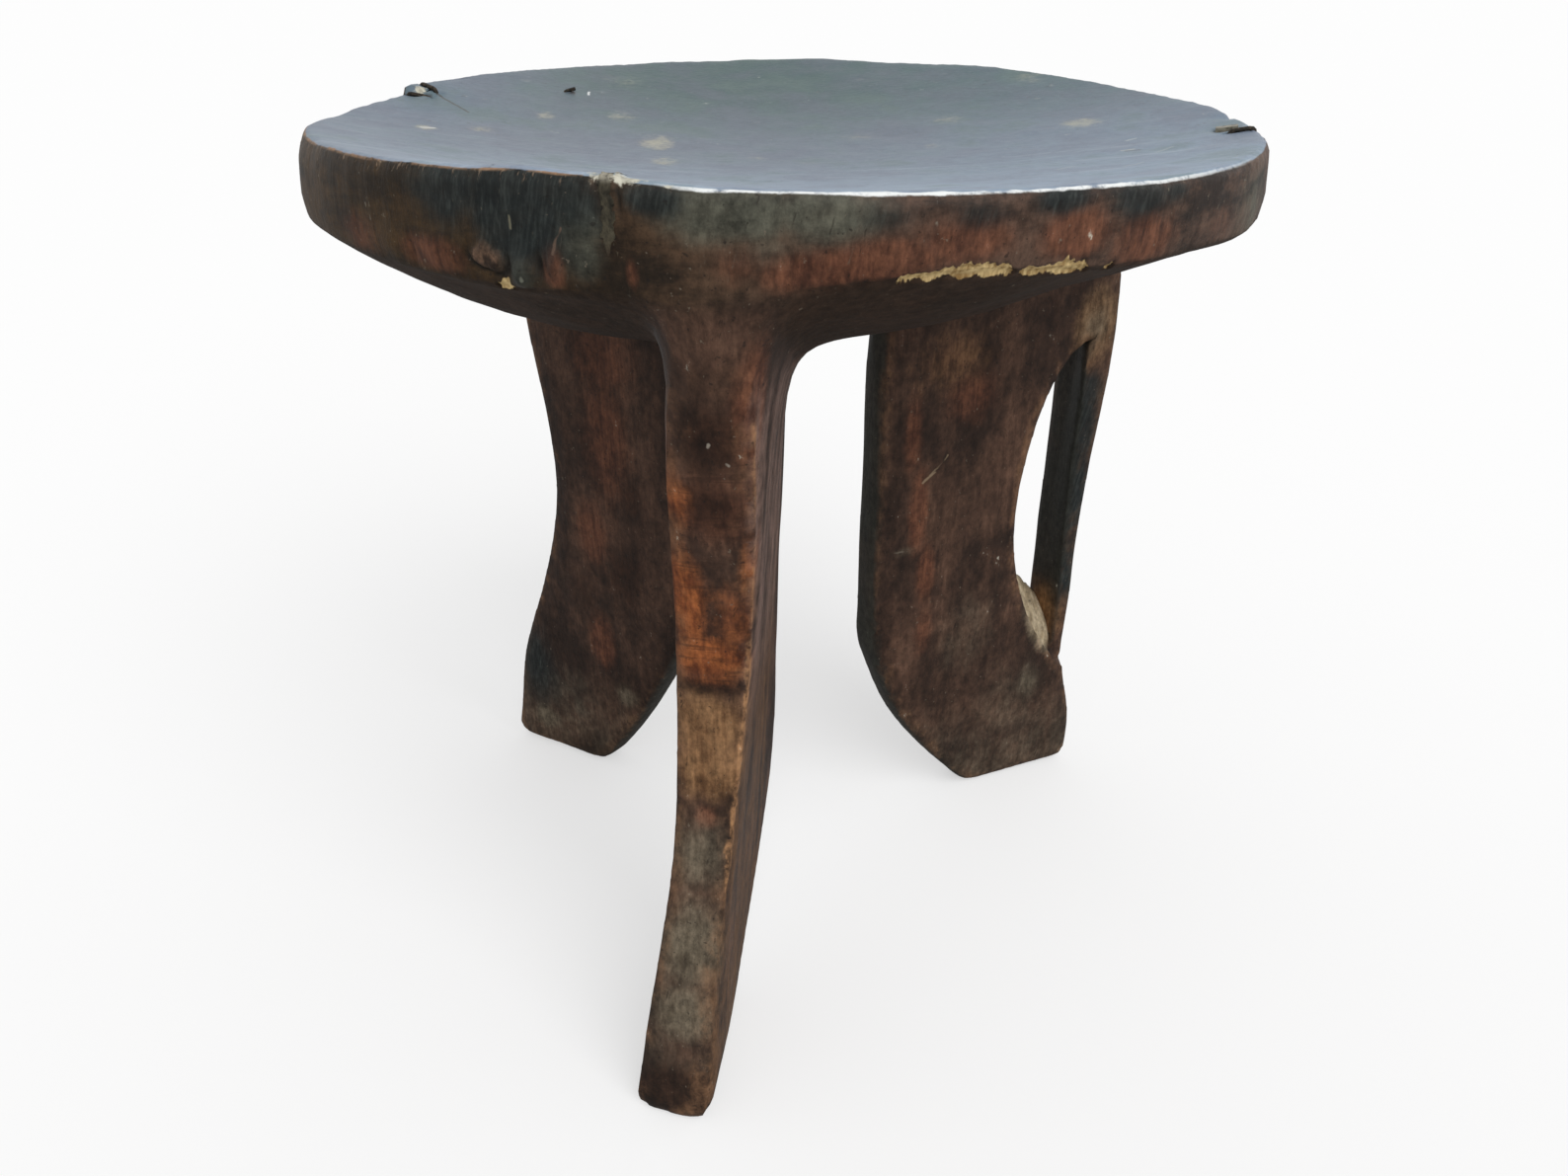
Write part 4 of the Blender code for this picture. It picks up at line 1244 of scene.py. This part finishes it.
def add_floor():
    mesh = bpy.data.meshes.new("floor")
    bm = bmesh.new()
    bmesh.ops.create_grid(bm, x_segments=1, y_segments=1, size=FLOOR_HALF)
    bm.to_mesh(mesh)
    bm.free()
    mesh.materials.append(pale_floor())
    floor = bpy.data.objects.new("floor", mesh)
    bpy.context.scene.collection.objects.link(floor)


def add_light():
    """Soft light from the right front, and a white surround."""
    world = bpy.data.worlds.new("studio")
    bpy.context.scene.world = world
    world.use_nodes = True
    world.node_tree.nodes.clear()
    start = Wire(world.node_tree)
    rays = ("Is Camera Ray", "Is Glossy Ray", "Is Transmission Ray")
    camera, glossy, through = (start.node("ShaderNodeLightPath", {}, {}, ray) for ray in rays)
    plain = camera.maths("MAXIMUM", glossy).maths("MAXIMUM", through)
    strength = plain * (1 - SKY_FILL) + SKY_FILL
    sky = start.node("ShaderNodeBackground", {}, {"Color": (1, 1, 1), "Strength": strength})
    start.node("ShaderNodeOutputWorld", {}, {"Surface": sky})
    lamp = bpy.data.lights.new("soft_lamp", "SUN")
    lamp.energy = LAMP_STRENGTH
    lamp.angle = math.radians(LAMP_SOFTNESS)
    sun = bpy.data.objects.new("soft_lamp", lamp)
    bpy.context.scene.collection.objects.link(sun)
    sun.rotation_euler = [math.radians(turn) for turn in LAMP_TURN]


def add_camera():
    """The photo's point of view."""
    lens = bpy.data.cameras.new("view")
    lens.sensor_width = VIEW_SENSOR
    lens.lens = VIEW_LENS
    camera = bpy.data.objects.new("view", lens)
    bpy.context.scene.collection.objects.link(camera)
    camera.matrix_world = (
        SEAT_FRAME
        @ Matrix.Translation(VIEW_PLACE)
        @ Matrix.Rotation(math.radians(90 - VIEW_TILT), 4, "X")
        @ Matrix.Rotation(math.radians(VIEW_ROLL), 4, "Z")
    )
    bpy.context.scene.camera = camera


carved_log(carved_wood())
iron = rusty_iron()
for staple in ("left_back_staple", "left_front_staple", "right_staple", "bent_nail"):
    add_repair(staple, iron)
add_repair("right_strap", dull_aluminium())
add_filler(split_filler())
add_floor()
add_light()
add_camera()
bpy.context.scene.view_settings.view_transform = "Standard"
